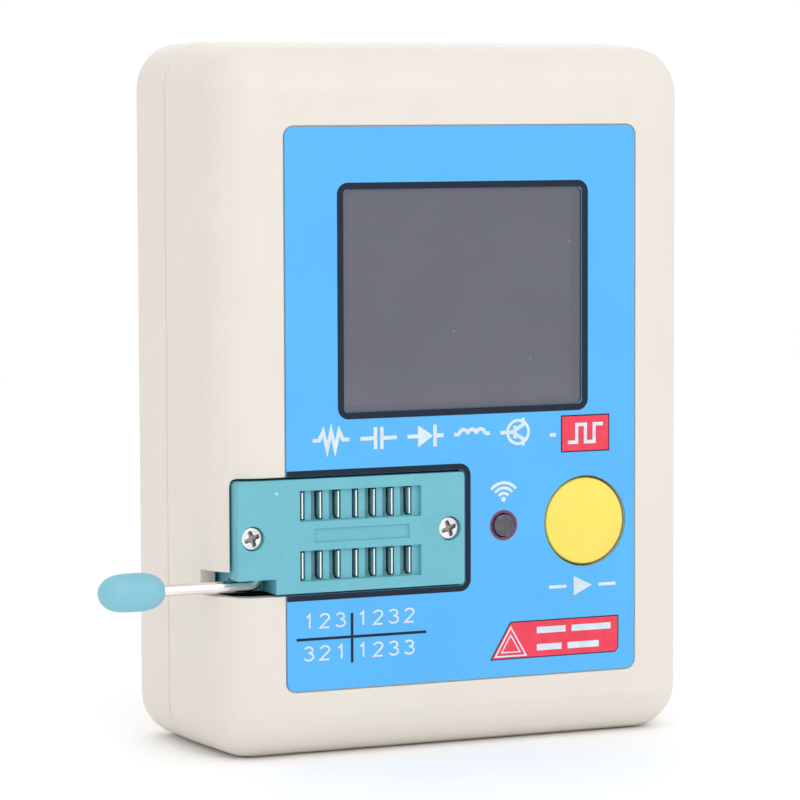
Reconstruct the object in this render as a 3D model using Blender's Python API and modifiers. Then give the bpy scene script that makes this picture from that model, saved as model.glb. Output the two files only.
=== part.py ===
"""Bench component tester with a display, a zero-insertion-force test socket and a start button.

Metres, +Z up. The origin is the middle of the flat underside; +X is to the right seen from the front,
and the front panel faces -Y. Depths are measured from the front panel's face towards the back.
"""

import math

import bmesh
import bpy
from mathutils import Matrix, Vector

# Fits
GAP = 0.0003  # between pieces that touch
SLIP = 0.0002  # around a piece that drops into its place
RUN = 0.00025  # around a piece that turns or slides

# Case
CASE_WIDTH = 0.0700
CASE_HEIGHT = 0.0930
CASE_DEPTH = 0.0300
SEAM_DEPTH = 0.0165
WALL = 0.0020
CORNER_RADIUS = 0.0060
FRONT_EDGE_RADIUS = 0.0058
REAR_EDGE_RADIUS = 0.0040
FRONT_DRAFT = 0.0010
LIP_THICKNESS = 0.0009
LIP_HEIGHT = 0.0014
CASE_SEGMENTS = 6

# Front label
LABEL_LEFT_MARGIN = 0.0100
LABEL_RIGHT_MARGIN = 0.0093
LABEL_TOP_MARGIN = 0.0111
LABEL_BOTTOM_MARGIN = 0.0090
LABEL_CORNER = 0.0012
LABEL_THICKNESS = 0.00025
LABEL_RECESS = 0.00035

# Display
DISPLAY_WIDTH = 0.0347
DISPLAY_HEIGHT = 0.0289
DISPLAY_SHIFT = 0.0005
DISPLAY_TOP_MARGIN = 0.01915
DISPLAY_CORNER = 0.0008
WINDOW_LEDGE = 0.0002
WINDOW_THICKNESS = 0.0011
LCD_RIM_LEFT = 0.0020
LCD_RIM_RIGHT = 0.0092
LCD_RIM_HIGH = 0.0025
LCD_GLASS = 0.0011
LCD_FRAME = 0.0016
FLEX_WIDTH = 0.0120
FLEX_THICKNESS = 0.0003

# Circuit board
PCB_DEPTH = 0.0090
PCB_THICKNESS = 0.0016
PCB_MARGIN = 0.0008
CHIP_CORNER = 0.0004

# Case screws and their bosses
CASE_SCREW_INSET = 0.0075
CASE_BOSS_RADIUS = 0.0031
BOSS_ROOT = 0.0003
PILOT_START = 0.0035
CASE_SCREW_RADIUS = 0.0011
CASE_SCREW_LENGTH = 0.0190
CASE_SCREW_HEAD_RADIUS = 0.0023
CASE_SCREW_HEAD = 0.0014
CASE_SCREW_SUNK = 0.0030

# Board screws and their bosses
PCB_BOSS_RADIUS = 0.0024
PCB_SCREW_RADIUS = 0.0009
PCB_SCREW_LENGTH = 0.0055
PCB_SCREW_HEAD_RADIUS = 0.0018
PCB_SCREW_HEAD = 0.0011
PCB_SCREW_INSET = 0.0046
PCB_SCREW_BESIDE_DISPLAY = 0.0018
PCB_SCREW_ABOVE_SOCKET = 0.0030

# Screw heads, as shares of their own radius and height
HEAD_FLAT = 0.6
HEAD_FLAT_HEIGHT = 0.9
HEAD_RIM_HEIGHT = 0.35
SCREW_SIDES = 16

# Test socket
ROW_HEIGHT = 0.0292
SOCKET_LEFT_MARGIN = 0.00305
SOCKET_WIDTH = 0.0148
SOCKET_PROUD = 0.0004
COVER_THICKNESS = 0.0028
COVER_CORNER = 0.0005
CONTACT_PITCH = 0.00254
CONTACTS_PER_ROW = 7
ROW_SPACING = 0.0078
FIRST_CONTACT = 0.00927
AFTER_LAST_CONTACT = 0.0077
CONTACT_THICKNESS = 0.0003
CONTACT_BLADE = 0.0034
CONTACT_TOP = 0.0005
TAIL_WIDTH = 0.0005
TAIL_BELOW_BOARD = 0.0012
ROW_RECESS_HEIGHT = 0.0040
ROW_RECESS = 0.0007
ROW_RECESS_LEFT = 0.0006
ROW_RECESS_RIGHT = 0.0014
SLOT_LENGTH = 0.0013
MIDDLE_RECESS_HEIGHT = 0.0018
MIDDLE_RECESS_INSET = 0.0014
MIDDLE_RECESS_DEPTH = 0.0003
SOCKET_SCREW_INSET = 0.0021
SOCKET_SCREW_RADIUS = 0.0007
SOCKET_SCREW_LENGTH = 0.0062
SOCKET_SCREW_HEAD_RADIUS = 0.0015
SOCKET_SCREW_HEAD = 0.0006
SOCKET_SCREW_SUNK = 0.0011

# Slider under the socket's cover
SLIDER_TRAVEL = 0.0006
SLIDER_THICKNESS = 0.0013
SLIDER_END = 0.0026
LUG_THICKNESS = 0.0009

# Lever
LEVER_RADIUS = 0.0008
LEVER_PIVOT = 0.0040
LEVER_DEPTH = 0.0030
LEVER_REACH = 0.0218
LEVER_ABOVE_SOCKET_BOTTOM = 0.0010
LEVER_BEND = 0.0012
STEP_LENGTH = 0.0053
STEP_HEIGHT = 0.0020
SHAFT_END_MARGIN = 0.0014
CRANK_LENGTH = 0.0018
CRANK_JOG = 0.0007
SHAFT_TAIL = 0.0008
KNOB_RADIUS = 0.0025
KNOB_LENGTH = 0.0090
KNOB_BORE = 0.0062
KNOB_END_LENGTH = 1.15  # of its radius
POCKET_HEIGHT = 0.0030
POCKET_DEPTH = 0.0066

# Start button and its switch
BUTTON_FROM_LABEL = 0.0074
CAP_RADIUS = 0.00580
CAP_CLEARANCE = 0.00030
CAP_SUNK = 0.0002
CAP_DOME = 0.0007
CAP_LENGTH = 0.0037
CAP_FLANGE_RADIUS = 0.0067
BUTTON_TRAVEL = 0.0003
SWITCH_SIZE = 0.0120
SWITCH_HEIGHT = 0.0036
STEM_RADIUS = 0.0019
STEM_FLANGE_RADIUS = 0.0033
STEM_FLANGE = 0.0012
STEM_INTO_CAP = 0.0028

# Infrared receiver
IR_FROM_SOCKET = 0.0059
IR_HOLE_RADIUS = 0.0017
IR_WINDOW_THICKNESS = 0.0010
IR_BODY_WIDTH = 0.0056
IR_BODY_HEIGHT = 0.0064
IR_BODY_THICKNESS = 0.0040
IR_DOME = 0.0010

# Charging socket and lamp, on the right side
USB_ABOVE_DISPLAY_BOTTOM = 0.01505
USB_WIDTH = 0.0076
USB_THICKNESS = 0.0027
USB_LENGTH = 0.0055
USB_WALL = 0.0004
USB_TONGUE = 0.0006
USB_OPENING_WIDTH = 0.0090
USB_OPENING_HEIGHT = 0.0038
LED_FROM_USB = 0.0095
LED_RADIUS = 0.0010
LED_LENGTH = 0.0034

# Battery
BATTERY_WIDTH = 0.0340
BATTERY_HEIGHT = 0.0480
BATTERY_THICKNESS = 0.0058
BATTERY_CORNER = 0.0020
BATTERY_TAPE = 0.0005
BATTERY_UP = 0.0060
LEAD_RADIUS = 0.0006
LEAD_SPACING = 0.0022
LEAD_BOW = 0.8  # of the distance between the leads' two ends
LEAD_STEPS = 12
CONNECTOR_WIDTH = 0.0060
CONNECTOR_HEIGHT = 0.0046
CONNECTOR_DEPTH = 0.0056
CONNECTOR_BELOW_BATTERY = 0.0070

# Components on the back of the board, measured from the object's middle and from the display's lower edge
MICROCONTROLLER_PLACE = (0.0050, 0.0080)
MICROCONTROLLER_SIZE = (0.0100, 0.0012, 0.0100)
CRYSTAL_PLACE = (-0.0080, 0.0080)
CRYSTAL_SIZE = (0.0046, 0.0034, 0.0105)
INDUCTOR_PLACE = (0.0170, -0.0020)
INDUCTOR_SIZE = (0.0060, 0.0032, 0.0060)
CHARGER_PLACE = (0.0200, 0.0090)
CHARGER_SIZE = (0.0040, 0.0015, 0.0050)
REGULATOR_PLACE = (0.0190, 0.0240)
REGULATOR_SIZE = (0.0065, 0.0016, 0.0036)

PAST = 0.0040  # how far a cutter reaches beyond the surface it opens
TINY = 1e-6

# Places that follow from the sizes above
FRONT = -CASE_DEPTH / 2
BACK = CASE_DEPTH / 2
LEFT = -CASE_WIDTH / 2
RIGHT = CASE_WIDTH / 2
LABEL_LOW = Vector((LEFT + LABEL_LEFT_MARGIN, 0, LABEL_BOTTOM_MARGIN))
LABEL_HIGH = Vector((RIGHT - LABEL_RIGHT_MARGIN, 0, CASE_HEIGHT - LABEL_TOP_MARGIN))
DISPLAY_HIGH = Vector((DISPLAY_SHIFT + DISPLAY_WIDTH / 2, 0, CASE_HEIGHT - DISPLAY_TOP_MARGIN))
DISPLAY_LOW = DISPLAY_HIGH - Vector((DISPLAY_WIDTH, 0, DISPLAY_HEIGHT))
LCD_LEFT = DISPLAY_LOW.x - LCD_RIM_LEFT
LCD_RIGHT = DISPLAY_HIGH.x + LCD_RIM_RIGHT
LCD_BOTTOM = DISPLAY_LOW.z - LCD_RIM_HIGH
LCD_TOP = DISPLAY_HIGH.z + LCD_RIM_HIGH
LCD_DEPTH = WALL + GAP
FRAME_DEPTH = LCD_DEPTH + LCD_GLASS + GAP
FRAME_BACK = FRAME_DEPTH + LCD_FRAME
PCB_BACK = PCB_DEPTH + PCB_THICKNESS
BACK_WALL = CASE_DEPTH - WALL
SOCKET_LEFT = LEFT + SOCKET_LEFT_MARGIN
CONTACT_START = SOCKET_LEFT + FIRST_CONTACT
CONTACT_END = CONTACT_START + (CONTACTS_PER_ROW - 1) * CONTACT_PITCH
SOCKET_RIGHT = CONTACT_END + AFTER_LAST_CONTACT
SOCKET_BOTTOM = ROW_HEIGHT - SOCKET_WIDTH / 2
SOCKET_TOP = ROW_HEIGHT + SOCKET_WIDTH / 2
COVER_BACK = COVER_THICKNESS - SOCKET_PROUD
BASE_DEPTH = COVER_BACK + GAP
BASE_BACK = PCB_DEPTH - GAP
PIVOT_X = SOCKET_LEFT + LEVER_PIVOT
LEVER_Z = SOCKET_BOTTOM + LEVER_ABOVE_SOCKET_BOTTOM
STEP_RIGHT = SOCKET_LEFT + STEP_LENGTH
STEP_TOP = SOCKET_BOTTOM + STEP_HEIGHT
SHAFT_END = SOCKET_TOP - SHAFT_END_MARGIN
CRANK_Z = SHAFT_END - SHAFT_TAIL - CRANK_JOG - CRANK_LENGTH / 2
CRANK_DEPTH = LEVER_DEPTH + SLIDER_TRAVEL
SLIDER_FRONT = CRANK_DEPTH + LEVER_RADIUS + GAP
SLIDER_BACK = SLIDER_FRONT + SLIDER_THICKNESS
SLIDER_LEFT = CONTACT_START - SLIDER_END
SLIDER_RIGHT = CONTACT_END + SLIDER_END
SLIDER_BOTTOM = ROW_HEIGHT - ROW_SPACING / 2 - CONTACT_BLADE / 2 - SLIP - GAP
SLIDER_TOP = ROW_HEIGHT + ROW_SPACING / 2 + CONTACT_BLADE / 2 + SLIP + GAP
BUTTON_X = LABEL_HIGH.x - BUTTON_FROM_LABEL
CAP_HOLE_RADIUS = CAP_RADIUS + CAP_CLEARANCE
CAP_BACK = CAP_SUNK + CAP_LENGTH
SWITCH_FRONT = PCB_DEPTH - GAP - SWITCH_HEIGHT
IR_X = SOCKET_RIGHT + IR_FROM_SOCKET
USB_Z = DISPLAY_LOW.z + USB_ABOVE_DISPLAY_BOTTOM
BATTERY_BACK = BACK_WALL - 2 * GAP - BATTERY_TAPE
BATTERY_LOW_Z = (CASE_HEIGHT - BATTERY_HEIGHT) / 2 + BATTERY_UP
CONNECTOR_Z = BATTERY_LOW_Z - CONNECTOR_BELOW_BATTERY


def at(depth):
    """Y of a plane this far behind the front panel's face."""
    return FRONT + depth


def draft_at(depth):
    """How far the front shell's sides lean in at this depth."""
    return FRONT_DRAFT * (1 - depth / SEAM_DEPTH)


def clear_scene():
    for thing in list(bpy.data.objects):
        bpy.data.objects.remove(thing, do_unlink=True)


def new_collection(name, hidden=False):
    collection = bpy.data.collections.new(name)
    bpy.context.scene.collection.children.link(collection)
    collection.hide_render = hidden
    return collection


clear_scene()
PARTS = new_collection("component_tester")
CUTTERS = new_collection("cutters", hidden=True)


def material(name, colour, roughness, metallic=0.0, alpha=1.0):
    made = bpy.data.materials.new(name)
    made.use_nodes = True
    shader = made.node_tree.nodes["Principled BSDF"]
    shader.inputs["Base Color"].default_value = (*colour, 1.0)
    shader.inputs["Roughness"].default_value = roughness
    shader.inputs["Metallic"].default_value = metallic
    shader.inputs["Alpha"].default_value = alpha
    return made


CREAM = material("cream_plastic", (0.80, 0.77, 0.72), 0.45)
BLUE = material("blue_label", (0.11, 0.50, 1.0), 0.4)
CLEAR = material("clear_window", (0.9, 0.9, 0.92), 0.05, alpha=0.3)
LCD_GREY = material("lcd_glass", (0.16, 0.16, 0.19), 0.1)
STEEL = material("steel", (0.75, 0.74, 0.72), 0.25, 1.0)
ORANGE = material("ribbon", (0.55, 0.25, 0.04), 0.4)
FOAM = material("foam", (0.05, 0.05, 0.05), 0.9)
GREEN = material("board", (0.02, 0.16, 0.06), 0.4)
BLACK = material("black_plastic", (0.02, 0.02, 0.02), 0.4)
TEAL = material("teal_plastic", (0.16, 0.55, 0.56), 0.45)
YELLOW = material("yellow_plastic", (0.93, 0.78, 0.13), 0.35)
SILVER = material("pouch_foil", (0.70, 0.71, 0.73), 0.35, 0.9)
WHITE = material("white_plastic", (0.85, 0.85, 0.82), 0.5)
RED = material("red_insulation", (0.60, 0.03, 0.03), 0.45)
DARK_LENS = material("infrared_window", (0.03, 0.01, 0.02), 0.1)
LAMP = material("lamp", (0.85, 0.25, 0.20), 0.2)
GOLD = material("contact_metal", (0.80, 0.78, 0.74), 0.2, 1.0)


def add_object(name, data, finish=None, location=(0, 0, 0), collection=None):
    made = bpy.data.objects.new(name, data)
    made.location = location
    (collection or PARTS).objects.link(made)
    if finish:
        data.materials.append(finish)
    else:
        made.hide_render = True
        made.display_type = "WIRE"
    return made


def mesh_from(bm, name):
    """The bmesh as a mesh with its normals outward."""
    bmesh.ops.recalc_face_normals(bm, faces=bm.faces)
    mesh = bpy.data.meshes.new(name)
    bm.to_mesh(mesh)
    bm.free()
    return mesh


def round_edges(bm, chosen, radius, segments):
    bmesh.ops.bevel(
        bm,
        geom=[edge for edge in bm.edges if chosen(edge)],
        offset=radius,
        offset_type="OFFSET",
        segments=segments,
        profile=0.5,
        affect="EDGES",
        clamp_overlap=False,
    )


def add_box(bm, low, high):
    """One box from its lowest to its highest corner, added to the bmesh."""
    low = Vector(low)
    high = Vector(high)
    place = Matrix.Translation((low + high) / 2) @ Matrix.Diagonal((*(high - low), 1))
    return bmesh.ops.create_cube(bm, size=1.0, matrix=place)["verts"]


def add_cylinder(bm, x, z, radius, near, far, sides=24):
    """One cylinder along Y, from the near depth to the far depth, added to the bmesh."""
    place = Matrix.Translation((x, at((near + far) / 2), z)) @ Matrix.Rotation(math.pi / 2, 4, "X")
    bmesh.ops.create_cone(
        bm, cap_ends=True, segments=sides, radius1=radius, radius2=radius, depth=far - near, matrix=place
    )


def is_along_y(edge):
    first, second = (vert.co for vert in edge.verts)
    return abs(first.y - second.y) > 10 * (abs(first.x - second.x) + abs(first.z - second.z) + TINY)


def plate_mesh(name, low, high, radius, segments=4):
    """A plate facing -Y with its four corners rounded."""
    bm = bmesh.new()
    add_box(bm, low, high)
    round_edges(bm, is_along_y, radius, segments)
    return mesh_from(bm, name)


def plate(name, low, high, radius, finish=None, segments=4):
    collection = PARTS if finish else CUTTERS
    return add_object(name, plate_mesh(name, low, high, radius, segments), finish, collection=collection)


def boxes(name, spans, finish=None, collection=None):
    """One object of separate boxes, each given by its lowest and highest corner."""
    bm = bmesh.new()
    for low, high in spans:
        add_box(bm, low, high)
    return add_object(name, mesh_from(bm, name), finish, collection=collection or CUTTERS)


def cylinders(name, places, radius, near, far, sides=24):
    """One cutter of separate cylinders along Y at these (x, z) places."""
    bm = bmesh.new()
    for x, z in places:
        add_cylinder(bm, x, z, radius, near, far, sides)
    return add_object(name, mesh_from(bm, name), collection=CUTTERS)


def combine(target, operation, *others):
    for other in others:
        modifier = target.modifiers.new(f"{operation.lower()}_{other.name}", "BOOLEAN")
        modifier.operation = operation
        modifier.solver = "EXACT"
        modifier.object = other


def cut(target, *cutters):
    combine(target, "DIFFERENCE", *cutters)


def join(target, *others):
    combine(target, "UNION", *others)


def turned(name, profile, finish, location, direction, sides=24, parent=None):
    """A profile of (radius, height) points, top to bottom down its outer side, turned about an axis."""
    mesh = bpy.data.meshes.new(name)
    points = [(radius, 0, height) for radius, height in profile]
    mesh.from_pydata(points, [(i, i + 1) for i in range(len(points) - 1)], [])
    made = add_object(name, mesh, finish, location)
    made.rotation_mode = "QUATERNION"
    made.rotation_quaternion = Vector((0, 0, 1)).rotation_difference(Vector(direction))
    screw = made.modifiers.new("turn", "SCREW")
    screw.steps = sides
    screw.render_steps = sides
    screw.use_merge_vertices = True
    screw.merge_threshold = 1e-5
    if parent:
        attach(made, parent)
    return made


def attach(piece, parent):
    """Parents a piece without moving it."""
    piece.parent = parent
    piece.matrix_parent_inverse = Matrix.Translation(-parent.location)


def joint_empty(name, location):
    empty = bpy.data.objects.new(name, None)
    empty.location = location
    empty.empty_display_size = 0.01
    PARTS.objects.link(empty)
    return empty


def tube(name, points, radius, finish, resolution=2):
    curve = bpy.data.curves.new(name, "CURVE")
    curve.dimensions = "3D"
    curve.bevel_depth = radius
    curve.bevel_resolution = resolution
    curve.use_fill_caps = True
    spline = curve.splines.new("POLY")
    spline.points.add(len(points) - 1)
    for target, point in zip(spline.points, points):
        target.co = (*point, 1.0)
    return add_object(name, curve, finish)


def moulded_block(name, size_in, near, far, corner, rim_radius, rim_at_front, leans=True):
    """The case's outline pulled in by size_in, from the near depth to the far depth.

    Its four long corners are rounded first, then the rim at its closed end. The front shell's sides lean in
    towards the front; the underside stays level, so that the case stands flat.
    """
    bm = bmesh.new()
    add_box(bm, (LEFT + size_in, at(near), size_in), (RIGHT - size_in, at(far), CASE_HEIGHT - size_in))
    for vert in bm.verts:
        lean = draft_at(near if vert.co.y < at((near + far) / 2) else far) if leans else 0.0
        vert.co.x -= math.copysign(lean, vert.co.x)
        if vert.co.z > CASE_HEIGHT / 2:
            vert.co.z -= lean
    rim_y = at(near) if rim_at_front else at(far)
    round_edges(bm, lambda edge: crosses(edge, near, far), corner, CASE_SEGMENTS)
    if rim_radius:
        round_edges(bm, lambda edge: lies_at(edge, rim_y), rim_radius, CASE_SEGMENTS)
    return mesh_from(bm, name)


def lies_at(edge, y):
    """Whether an edge lies in the plane at this Y."""
    return all(abs(vert.co.y - y) < TINY for vert in edge.verts)


def crosses(edge, near, far):
    """Whether an edge runs from the block's near end to its far end."""
    return abs(edge.verts[0].co.y - edge.verts[1].co.y) > (far - near) / 2


CASE_SCREWS = [
    (x, z)
    for x in (LEFT + CASE_SCREW_INSET, RIGHT - CASE_SCREW_INSET)
    for z in (CASE_SCREW_INSET, CASE_HEIGHT - CASE_SCREW_INSET)
]
PCB_SCREW_X = RIGHT - WALL - PCB_SCREW_INSET
PCB_SCREW_LOW = LCD_BOTTOM - PCB_SCREW_BESIDE_DISPLAY - PCB_BOSS_RADIUS
PCB_SCREW_HIGH = LCD_TOP + PCB_SCREW_BESIDE_DISPLAY + PCB_BOSS_RADIUS
PCB_SCREWS = [
    (-PCB_SCREW_X, SOCKET_TOP + PCB_SCREW_ABOVE_SOCKET),
    (-PCB_SCREW_X, PCB_SCREW_HIGH),
    (PCB_SCREW_X, PCB_SCREW_LOW),
    (PCB_SCREW_X, PCB_SCREW_HIGH),
]


def front_shell():
    shell = add_object(
        "front_shell",
        moulded_block("front_shell", 0, 0, SEAM_DEPTH - GAP / 2, CORNER_RADIUS, FRONT_EDGE_RADIUS, True),
        CREAM,
    )
    inside = add_object(
        "front_cavity",
        moulded_block(
            "front_cavity",
            WALL,
            WALL,
            SEAM_DEPTH + PAST,
            CORNER_RADIUS - WALL,
            FRONT_EDGE_RADIUS - WALL,
            True,
        ),
        collection=CUTTERS,
    )
    rebate = add_object(
        "front_rebate",
        moulded_block(
            "front_rebate",
            WALL - LIP_THICKNESS - SLIP,
            SEAM_DEPTH - LIP_HEIGHT - GAP,
            SEAM_DEPTH + PAST,
            CORNER_RADIUS - WALL + LIP_THICKNESS + SLIP,
            0,
            True,
        ),
        collection=CUTTERS,
    )
    cut(shell, inside, rebate)
    root = WALL - BOSS_ROOT
    boss_end = SEAM_DEPTH - LIP_HEIGHT - GAP
    case_bosses = cylinders("case_bosses", CASE_SCREWS, CASE_BOSS_RADIUS, root, boss_end, SCREW_SIDES)
    pcb_bosses = cylinders("pcb_bosses", PCB_SCREWS, PCB_BOSS_RADIUS, root, PCB_DEPTH - GAP, SCREW_SIDES)
    join(shell, case_bosses, pcb_bosses)
    case_pilots = cylinders(
        "case_pilots", CASE_SCREWS, CASE_SCREW_RADIUS + SLIP, PILOT_START, SEAM_DEPTH + PAST, SCREW_SIDES
    )
    pcb_pilots = cylinders(
        "pcb_pilots", PCB_SCREWS, PCB_SCREW_RADIUS + SLIP, PILOT_START, PCB_DEPTH + PAST, SCREW_SIDES
    )
    cut(shell, case_pilots, pcb_pilots)
    cut(shell, *panel_openings())
    cut(shell, *side_openings())


def panel_openings():
    """Cutters for the label's recess, the display, the button, the infrared eye, the socket and its lever."""
    recess = plate(
        "label_recess",
        (LABEL_LOW.x - SLIP, at(-PAST), LABEL_LOW.z - SLIP),
        (LABEL_HIGH.x + SLIP, at(LABEL_RECESS), LABEL_HIGH.z + SLIP),
        LABEL_CORNER + SLIP,
    )
    reveal = WINDOW_LEDGE + SLIP
    display = plate(
        "display_opening",
        (DISPLAY_LOW.x - reveal, at(-PAST), DISPLAY_LOW.z - reveal),
        (DISPLAY_HIGH.x + reveal, at(WALL + PAST), DISPLAY_HIGH.z + reveal),
        DISPLAY_CORNER + reveal,
    )
    button = cylinders("button_opening", [(BUTTON_X, ROW_HEIGHT)], CAP_HOLE_RADIUS, -PAST, WALL + PAST, 40)
    eye = cylinders("eye_opening", [(IR_X, ROW_HEIGHT)], IR_HOLE_RADIUS, -PAST, WALL + PAST)
    socket = plate(
        "socket_opening",
        (SOCKET_LEFT - GAP, at(-PAST), SOCKET_BOTTOM - GAP),
        (SOCKET_RIGHT + GAP, at(BASE_BACK + GAP), SOCKET_TOP + GAP),
        COVER_CORNER + GAP,
    )
    pocket = boxes(
        "lever_pocket",
        [
            (
                (LEFT - PAST, at(-PAST), SOCKET_BOTTOM - SLIP),
                (SOCKET_LEFT + COVER_CORNER + GAP, at(POCKET_DEPTH), SOCKET_BOTTOM + POCKET_HEIGHT),
            )
        ],
    )
    return recess, display, button, eye, socket, pocket


def side_openings():
    """Cutters for the charging socket's mouth and the charge lamp, through the right wall."""
    middle = PCB_BACK + GAP + USB_THICKNESS / 2
    usb = boxes(
        "usb_opening",
        [
            (
                (RIGHT - WALL - PAST, at(middle - USB_OPENING_HEIGHT / 2), USB_Z - USB_OPENING_WIDTH / 2),
                (RIGHT + PAST, at(middle + USB_OPENING_HEIGHT / 2), USB_Z + USB_OPENING_WIDTH / 2),
            )
        ],
    )
    bm = bmesh.new()
    along_x = Matrix.Rotation(math.pi / 2, 4, "Y")
    place = Matrix.Translation((RIGHT, at(middle), USB_Z + LED_FROM_USB)) @ along_x
    bmesh.ops.create_cone(
        bm,
        cap_ends=True,
        segments=SCREW_SIDES,
        radius1=LED_RADIUS + SLIP,
        radius2=LED_RADIUS + SLIP,
        depth=2 * (WALL + PAST),
        matrix=place,
    )
    lamp = add_object("lamp_opening", mesh_from(bm, "lamp_opening"), collection=CUTTERS)
    return usb, lamp


def rear_shell():
    shell = add_object(
        "rear_shell",
        moulded_block(
            "rear_shell",
            0,
            SEAM_DEPTH + GAP / 2,
            CASE_DEPTH,
            CORNER_RADIUS,
            REAR_EDGE_RADIUS,
            False,
            leans=False,
        ),
        CREAM,
    )
    lip = add_object(
        "rear_lip",
        moulded_block(
            "rear_lip",
            WALL - LIP_THICKNESS,
            SEAM_DEPTH - LIP_HEIGHT,
            SEAM_DEPTH + PAST,
            CORNER_RADIUS - WALL + LIP_THICKNESS,
            0,
            True,
        ),
        collection=CUTTERS,
    )
    inside = add_object(
        "rear_cavity",
        moulded_block(
            "rear_cavity",
            WALL,
            SEAM_DEPTH - 2 * LIP_HEIGHT,
            BACK_WALL,
            CORNER_RADIUS - WALL,
            REAR_EDGE_RADIUS - WALL,
            False,
            leans=False,
        ),
        collection=CUTTERS,
    )
    join(shell, lip)
    cut(shell, inside)
    boss_end = BACK_WALL + BOSS_ROOT
    bosses = cylinders("rear_bosses", CASE_SCREWS, CASE_BOSS_RADIUS, SEAM_DEPTH, boss_end, SCREW_SIDES)
    join(shell, bosses)
    near = SEAM_DEPTH - PAST
    holes = cylinders(
        "rear_holes", CASE_SCREWS, CASE_SCREW_RADIUS + SLIP, near, CASE_DEPTH + PAST, SCREW_SIDES
    )
    sinks = cylinders(
        "rear_sinks",
        CASE_SCREWS,
        CASE_SCREW_HEAD_RADIUS + SLIP,
        CASE_DEPTH - CASE_SCREW_SUNK,
        CASE_DEPTH + PAST,
        SCREW_SIDES,
    )
    cut(shell, holes, sinks)


def front_label():
    label = plate(
        "front_label",
        (LABEL_LOW.x, FRONT, LABEL_LOW.z),
        (LABEL_HIGH.x, at(LABEL_THICKNESS), LABEL_HIGH.z),
        LABEL_CORNER,
        BLUE,
    )
    display = plate(
        "label_display_cut",
        (DISPLAY_LOW.x, at(-PAST), DISPLAY_LOW.z),
        (DISPLAY_HIGH.x, at(PAST), DISPLAY_HIGH.z),
        DISPLAY_CORNER,
    )
    button = cylinders("label_button_cut", [(BUTTON_X, ROW_HEIGHT)], CAP_HOLE_RADIUS, -PAST, PAST, 40)
    eye = cylinders("label_eye_cut", [(IR_X, ROW_HEIGHT)], IR_HOLE_RADIUS, -PAST, PAST)
    socket = plate(
        "label_socket_cut",
        (SOCKET_LEFT - GAP, at(-PAST), SOCKET_BOTTOM - GAP),
        (SOCKET_RIGHT + GAP, at(PAST), SOCKET_TOP + GAP),
        COVER_CORNER + GAP,
    )
    cut(label, display, button, eye, socket)


def display():
    plate(
        "display_window",
        (DISPLAY_LOW.x - WINDOW_LEDGE, at(LABEL_RECESS), DISPLAY_LOW.z - WINDOW_LEDGE),
        (DISPLAY_HIGH.x + WINDOW_LEDGE, at(LABEL_RECESS + WINDOW_THICKNESS), DISPLAY_HIGH.z + WINDOW_LEDGE),
        DISPLAY_CORNER + WINDOW_LEDGE,
        CLEAR,
    )
    plate(
        "lcd_glass",
        (LCD_LEFT, at(LCD_DEPTH), LCD_BOTTOM),
        (LCD_RIGHT, at(LCD_DEPTH + LCD_GLASS), LCD_TOP),
        DISPLAY_CORNER,
        LCD_GREY,
        segments=2,
    )
    plate(
        "lcd_frame",
        (LCD_LEFT, at(FRAME_DEPTH), LCD_BOTTOM),
        (LCD_RIGHT - FLEX_THICKNESS - GAP, at(FRAME_BACK), LCD_TOP),
        DISPLAY_CORNER,
        STEEL,
        segments=2,
    )
    plate(
        "display_foam",
        (DISPLAY_LOW.x, at(FRAME_BACK + GAP), DISPLAY_LOW.z),
        (DISPLAY_HIGH.x, at(PCB_DEPTH - GAP), DISPLAY_HIGH.z),
        DISPLAY_CORNER,
        FOAM,
        segments=2,
    )
    ribbon()


def ribbon():
    """The flat ribbon: down behind the glass's right end, then flat along the board."""
    middle = (LCD_BOTTOM + LCD_TOP) / 2
    boxes(
        "lcd_flex",
        [
            (
                (LCD_RIGHT - FLEX_THICKNESS, at(LCD_DEPTH + LCD_GLASS + GAP), middle - FLEX_WIDTH / 2),
                (LCD_RIGHT, at(PCB_DEPTH - GAP), middle + FLEX_WIDTH / 2),
            )
        ],
        ORANGE,
        PARTS,
    )
    foot = boxes(
        "flex_foot",
        [
            (
                (DISPLAY_HIGH.x + GAP, at(PCB_DEPTH - GAP - FLEX_THICKNESS), middle - FLEX_WIDTH / 2),
                (LCD_RIGHT - FLEX_THICKNESS / 2, at(PCB_DEPTH - GAP), middle + FLEX_WIDTH / 2),
            )
        ],
    )
    join(bpy.data.objects["lcd_flex"], foot)


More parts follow.
